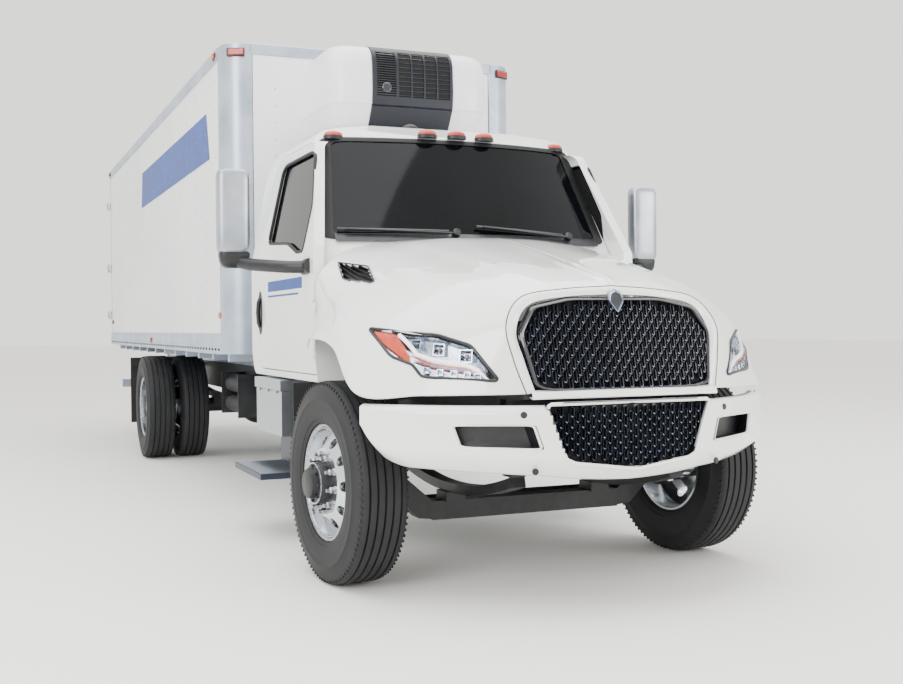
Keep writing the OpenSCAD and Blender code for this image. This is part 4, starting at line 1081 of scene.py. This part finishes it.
# ---- Load box rails and posts ----
# Mill-finish aluminium extrusions: rounded front corner posts, a deep punched bottom rail and a top
# rail, riveted along both edges.
mill, tree, shader = material("mill_finish_aluminium", "#aeb9c8", 0.36, 0.7)
mottle(tree, shader, "#a2aebf", "#bcc6d3", 250, 0.3, 0.42, 0.15, 3)
dress(mill, "rear_frame")
rails, punched = Bits(), Bits()
for s in (-1, 1):
    mid = (BOX_HALF - 0.140, BOX_FRONT + 0.140)
    arc = [(mid[0] - 0.055, BOX_FRONT - 0.004), (mid[0] - 0.05, BOX_FRONT - 0.008)]
    arc += [(mid[0] + 0.148 * math.sin(a), mid[1] - 0.148 * math.cos(a))
            for a in (math.pi / 2 * k / 16 for k in range(17))]
    arc += [(BOX_HALF + 0.008, mid[1] + 0.07), (BOX_HALF + 0.004, mid[1] + 0.075)]
    rows = [[at(s * x, y, z) for x, y in arc] for z in (BOX_LOW, BOX_TOP - 0.004)]
    rails.grid(facing_out(rows, s))
    for m in range(26):
        z = 1.16 + 0.084 * m
        rivet(at(s * (mid[0] - 0.035), BOX_FRONT - 0.008, z), (0, -1, 0))
        rivet(at(s * (BOX_HALF + 0.008), mid[1] + 0.052, z), (s, 0, 0))
    y0, y1 = BOX_FRONT + 0.20, BOX_BACK - 0.02
    rails.box(at(s * (BOX_HALF - 0.004), y0, BOX_LOW - 0.004), at(s * (BOX_HALF + 0.012), y1,
                                                                  BOX_LOW + 0.150), 0.005)
    rails.box(at(s * (BOX_HALF - 0.004), y0, BOX_TOP - 0.085), at(s * (BOX_HALF + 0.012), y1,
                                                                  BOX_TOP + 0.004), 0.005)
    rails.box(at(s * (BOX_HALF + 0.009), y0, BOX_LOW + 0.058), at(s * (BOX_HALF + 0.018), y1,
                                                                  BOX_LOW + 0.072), 0.003)
    for k in range(60):
        y = y0 + 0.06 + 0.118 * k
        rivet(at(s * (BOX_HALF + 0.012), y, BOX_LOW + 0.128), (s, 0, 0))
        rivet(at(s * (BOX_HALF + 0.012), y, BOX_TOP - 0.020), (s, 0, 0))
        rivet(at(s * (BOX_HALF + 0.012), y, BOX_TOP - 0.066), (s, 0, 0))
        # Each punched slot is drawn as a thin near-black block on the rail's face: painted shade standing in
        # for the dark inside of the slot.
        punched.box(at(s * (BOX_HALF + 0.010), y - 0.030, BOX_LOW + 0.022),
                    at(s * (BOX_HALF + 0.0135), y + 0.030, BOX_LOW + 0.040), 0.002)
rails.box(at(-0.95, BOX_FRONT - 0.008, BOX_TOP - 0.075), at(0.95, BOX_FRONT + 0.01, BOX_TOP + 0.003), 0.004)
rails.box(at(-0.95, BOX_FRONT - 0.008, BOX_LOW - 0.004), at(0.95, BOX_FRONT + 0.01, BOX_LOW + 0.090), 0.004)
for k in range(9):
    y = BOX_FRONT + 0.5 + 0.8 * k
    rails.box(at(-1.04, y, BOX_TOP - 0.001), at(1.04, y + 0.06, BOX_TOP + 0.004), 0.002)
rails.make("box_rails", mill, "root", "grey_aluminium")
punched.make("rail_slot_shade", painted_shade_black, "root", "grey_aluminium")
rivets.make("box_rivets", mill, "root", "grey_aluminium")
joint = Bits()
for s in (-1, 1):
    joint.box(at(s * 0.921, BOX_FRONT - 0.003, BOX_LOW), at(s * 0.929, BOX_FRONT + 0.004, BOX_TOP - 0.07),
              0.001)
    joint.box(at(s * (BOX_HALF - 0.003), BOX_FRONT + 0.215, BOX_LOW + 0.15),
              at(s * (BOX_HALF + 0.0025), BOX_FRONT + 0.221, BOX_TOP - 0.08), 0.001)
joint.make("panel_joints", seam_rubber, "root", "grey_aluminium")
dress(mill, "box_floor")

# ---- Side bands ----
# One plain blue vinyl band laid on each side of the box, about 360 mm deep, with no lettering on it;
# the film is thin and lies flat on the sheet.
stripe = Bits()
for s in (-1, 1):
    x = s * (BOX_HALF + 0.0022)
    rows = []
    for m in range(5):
        f = m / 4
        rows.append([at(x, 3.02 + 0.12 * f + (3.75 - 0.2 * f) * k / 40, 2.58 + 0.36 * f)
                     for k in range(41)])
    stripe.grid(facing_out(rows, s))
stripe.make("side_bands", blue, "root", "white_panel")

# ---- Marker lamps ----
# Moulded red and amber polycarbonate lamps in thin black bases along the box and at its rear.
red, tree, shader = material("red_polycarbonate", "#9c120e", 0.2, coat=0.2)
mottle(tree, shader, "#8f0f0b", "#ae1a14", 30, 0.12, 0.22)
reds, oranges, lamp_bases = Bits(), Bits(), Bits()


def lamp(bits, spot, half, out_axis, out=0.018):
    """A small raised lamp on a base: half is its half sizes, out_axis 0 or 1 the way it faces."""
    way = 1 if spot[out_axis] > 0 or (out_axis == 1 and out > 0) else -1
    for target, grow, rise in ((lamp_bases, 0.008, 0.006), (bits, 0.0, abs(out))):
        low = Vector(spot) - Vector(half) - Vector((grow, grow, grow))
        high = Vector(spot) + Vector(half) + Vector((grow, grow, grow))
        low[out_axis], high[out_axis] = spot[out_axis] - way * 0.004, spot[out_axis] + way * rise
        target.box(low, high, 0.005)


for s in (-1, 1):
    a = math.radians(24)
    spot = at(s * (0.98 + 0.149 * math.sin(a)), BOX_FRONT + 0.14 - 0.149 * math.cos(a), 3.262)
    spin = Matrix.Rotation(s * a, 3, "Z")
    lamp_bases.box(spot - Vector((0.064, 0.008, 0.030)), spot + Vector((0.064, 0.010, 0.030)), 0.004, spin)
    reds.box(spot - Vector((0.056, 0.020, 0.022)), spot + Vector((0.056, 0.002, 0.022)), 0.007, spin)
    for y, z, bits in ((2.66, 1.40, oranges), (9.55, 1.40, reds), (6.1, 1.195, oranges),
                       (2.75, 3.288, oranges), (9.6, 3.288, reds)):
        lamp(bits, at(s * (BOX_HALF + (0.012 if z > 3 or z < 1.3 else 0.0)), y, z), (0, 0.035, 0.018), 0)
BACK = BOX_BACK
for x in (-0.20, 0.0, 0.20, -1.04, 1.04):
    lamp(reds, at(x, BACK, 3.285), (0.04, 0, 0.018), 1, 0.018)
for s in (-1, 1):
    for dx, bits in ((0.0, reds), (0.17, reds)):
        spot = at(s * (0.60 + dx), BACK + 0.002, 1.195)
        lamp_bases.turn([(0.066, -0.01), (0.066, 0.008), (0.058, 0.012)], spot, (0, 1, 0), 28)
        bits.turn([(0.056, 0.0), (0.054, 0.016), (0.035, 0.022), (0.001, 0.024)], spot, (0, 1, 0), 28)
    lamp(reds, at(s * 0.85, BACK, 0.61), (0.09, 0, 0.028), 1, 0.004)
reds.make("red_marker_lamps", red, "root", "lamp_glass")
oranges.make("amber_marker_lamps", amber, "root", "lamp_glass")
lamp_bases.make("marker_bases", abs_black, "root", "grey_aluminium")

# ---- Rear doors ----
# Galvanised lock rods, cam keepers and hinge straps bolted on the insulated doors, which are edged
# with black rubber.
galvanised, tree, shader = material("galvanised_steel", "#a7abae", 0.42, 0.85)
mottle(tree, shader, "#989ca0", "#b6babd", 14, 0.34, 0.52, 0.2, 4)
for s, side in ((-1, "right"), (1, "left")):
    gear, edge_strip = Bits(), Bits()
    for x in (0.200, 0.500):
        gear.turn([(0.0155, 0.0), (0.0155, 1.945)], at(s * x, BACK + 0.024, 1.283), (0, 0, 1), 16)
        for z in (1.33, 1.50, 2.10, 2.90, 3.08):
            gear.box(at(s * x - 0.028, BACK - 0.001, z - 0.002), at(s * x + 0.028, BACK + 0.042, z + 0.052),
                     0.006)
        gear.box(at(s * x, BACK + 0.034, 1.60), at(s * (x + 0.11), BACK + 0.046, 1.63), 0.005)
        gear.box(at(s * x - 0.02, BACK + 0.008, 1.59), at(s * x + 0.02, BACK + 0.044, 1.64), 0.005)
    for z in (1.5, 2.1, 2.9):
        gear.box(at(s * 0.845, BACK + 0.004, z - 0.038), at(s * 1.13, BACK + 0.016, z + 0.038), 0.004)
        for x in (0.88, 0.94, 1.0):
            gear.turn([(0.012, 0.0), (0.012, 0.008), (0.007, 0.011)], at(s * x, BACK + 0.015, z), (0, 1, 0),
                      6)
        gear.turn([(0.017, -0.037), (0.019, -0.034), (0.019, 0.034), (0.017, 0.037)],
                  at(s * 1.145, BACK + 0.030, z), (0, 0, 1), 20)
    gear.make("door_gear_" + side, galvanised, "rear_door_" + side, "grey_aluminium")
    frame_in, frame_out = [], []
    for x, z in ((0.006, 1.279), (1.036, 1.279), (1.036, 3.231), (0.006, 3.231)):
        frame_in.append((x + (0.028 if x < 0.5 else -0.028), z + (0.028 if z < 2 else -0.028)))
        frame_out.append((x, z))
    edge_strip.grid([[at(s * x, BACK + d, z) for x, z in ring] for ring, d in
                     ((frame_out, -0.01), (frame_out, 0.006), (frame_in, 0.008), (frame_in, -0.004))],
                    closed=True)
    edge_strip.make("door_seal_" + side, seam_rubber, "rear_door_" + side, "flap_rubber", smooth=False)

# ---- Cooling unit ----
# A nose-mounted refrigeration unit: white moulded shell in two halves, a dark navy grille panel down
# the middle with upright louvres, and a black drip pan beneath.
shell_white, tree, shader = material("moulded_white_shell", "#eef0f1", 0.34, coat=0.4)
mottle(tree, shader, "#e9ebed", "#f3f4f5", 700, 0.3, 0.4, 0.05, 3)
navy, tree, shader = material("navy_moulding", "#0a0f1b", 0.4)
mottle(tree, shader, "#080c16", "#0e1422", 90, 0.35, 0.45)
UNIT = [(z - 0.040, half, front) for z, half, front in (
        (2.690, 0.500, 1.800), (2.700, 0.525, 1.765), (2.730, 0.545, 1.735), (2.832, 0.568, 1.668),
                                                        (2.836, 0.566, 1.672),
        (2.841, 0.568, 1.668), (2.845, 0.574, 1.660), (2.95, 0.575, 1.648), (3.12, 0.574, 1.655),
                                                        (3.18, 0.568, 1.672), (3.215, 0.556, 1.700),
        (3.238, 0.535, 1.735), (3.248, 0.505, 1.775))]


def unit_ring(half, front, z, r=0.13):
    pts = [(half, BOX_FRONT)]
    pts += [(half - r + r * math.cos(a), front + r - r * math.sin(a))
            for a in (math.pi / 2 * k / 10 for k in range(11))]
    left = [(-x, y) for x, y in reversed(pts)]
    return [at(x, y, z) for x, y in pts + left]


shell = Bits()
shell.grid([unit_ring(half, front, z) for z, half, front in UNIT], closed=True, cap=True)
made = shell.make("unit_shell", shell_white, "root", "unit_plastic")
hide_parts("cooling_unit")


def unit_front(z):
    for (z0, _, y0), (z1, _, y1) in zip(UNIT, UNIT[1:]):
        if z <= z1:
            return y0 + (y1 - y0) * (z - z0) / (z1 - z0)
    return UNIT[-1][2]


panel, slats, voids = Bits(), Bits(), Bits()
GRID_Z = [2.86, 2.91, 2.97, 3.02, 3.08, 3.11, 3.14, 3.165]
heights = [2.652, 2.665, 2.69, 2.74, 2.792, 2.797, 2.805, 2.83, 2.86]
top_part = [3.165, 3.175, 3.187, 3.198, 3.208]
for x0, x1, zs in ((-0.29, 0.29, heights), (-0.29, 0.29, top_part), (-0.29, -0.262, GRID_Z),
                   (-0.125, -0.105, GRID_Z), (0.268, 0.29, GRID_Z)):
    rows = [[at(x, unit_front(z) - 0.012 + (0.016 if x in (x0 - 0.004, x1 + 0.004) else 0), z)
             for x in (x0 - 0.004, x0, x1, x1 + 0.004)] for z in zs]
    panel.grid(rows)
for k in range(3):
    x = -0.012 + 0.0935 * k
    panel.grid([[at(x + dx, unit_front(z) - 0.012 + dy, z) for dx,
                 dy in ((-0.007, 0.016), (-0.006, 0), (0.006, 0), (0.007, 0.016))]
                for z in GRID_Z])
panel.box(at(-0.29, 1.775, 3.204), at(0.29, 2.36, 3.214), 0.004)
voids.grid([[at(x, unit_front(z) - 0.006, z) for x in (-0.27, 0.275)] for z in GRID_Z])
for m in range(19):
    z = 2.868 + 0.0158 * m
    y = at(0, unit_front(z), 0).y
    slats.box((-0.262, y - 0.014, z), (-0.125, y - 0.005, z + 0.008), 0.002)
    if m % 2 == 0:
        slats.box((-0.105, y - 0.010, z), (0.268, y - 0.005, z + 0.005), 0.001)
slats.turn([(0.034, 0.0), (0.034, 0.010), (0.028, 0.014), (0.024, 0.010), (0.001, 0.010)],
           at(-0.195, unit_front(2.915) - 0.008, 2.915), (0, -1, 0), 28)
panel.make("unit_panel", navy, "root", "unit_plastic")
slats.make("unit_louvres", gloss_black, "root", "unit_plastic")
voids.make("unit_shadow", painted_shade_black, "root", "unit_plastic", smooth=False)
pan = Bits()
pan.box(at(-0.47, 1.83, 2.628), at(0.47, 2.43, 2.654), 0.008)
pan.box(at(-0.30, 1.80, 2.605), at(0.30, 2.30, 2.632), 0.010)
pan.make("unit_drip_pan", abs_black, "root", "unit_plastic")

size = {"cad": [[float(v) for v in corner] for corner in cad_box],
        "visual": [[float(v) for v in corner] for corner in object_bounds()]}
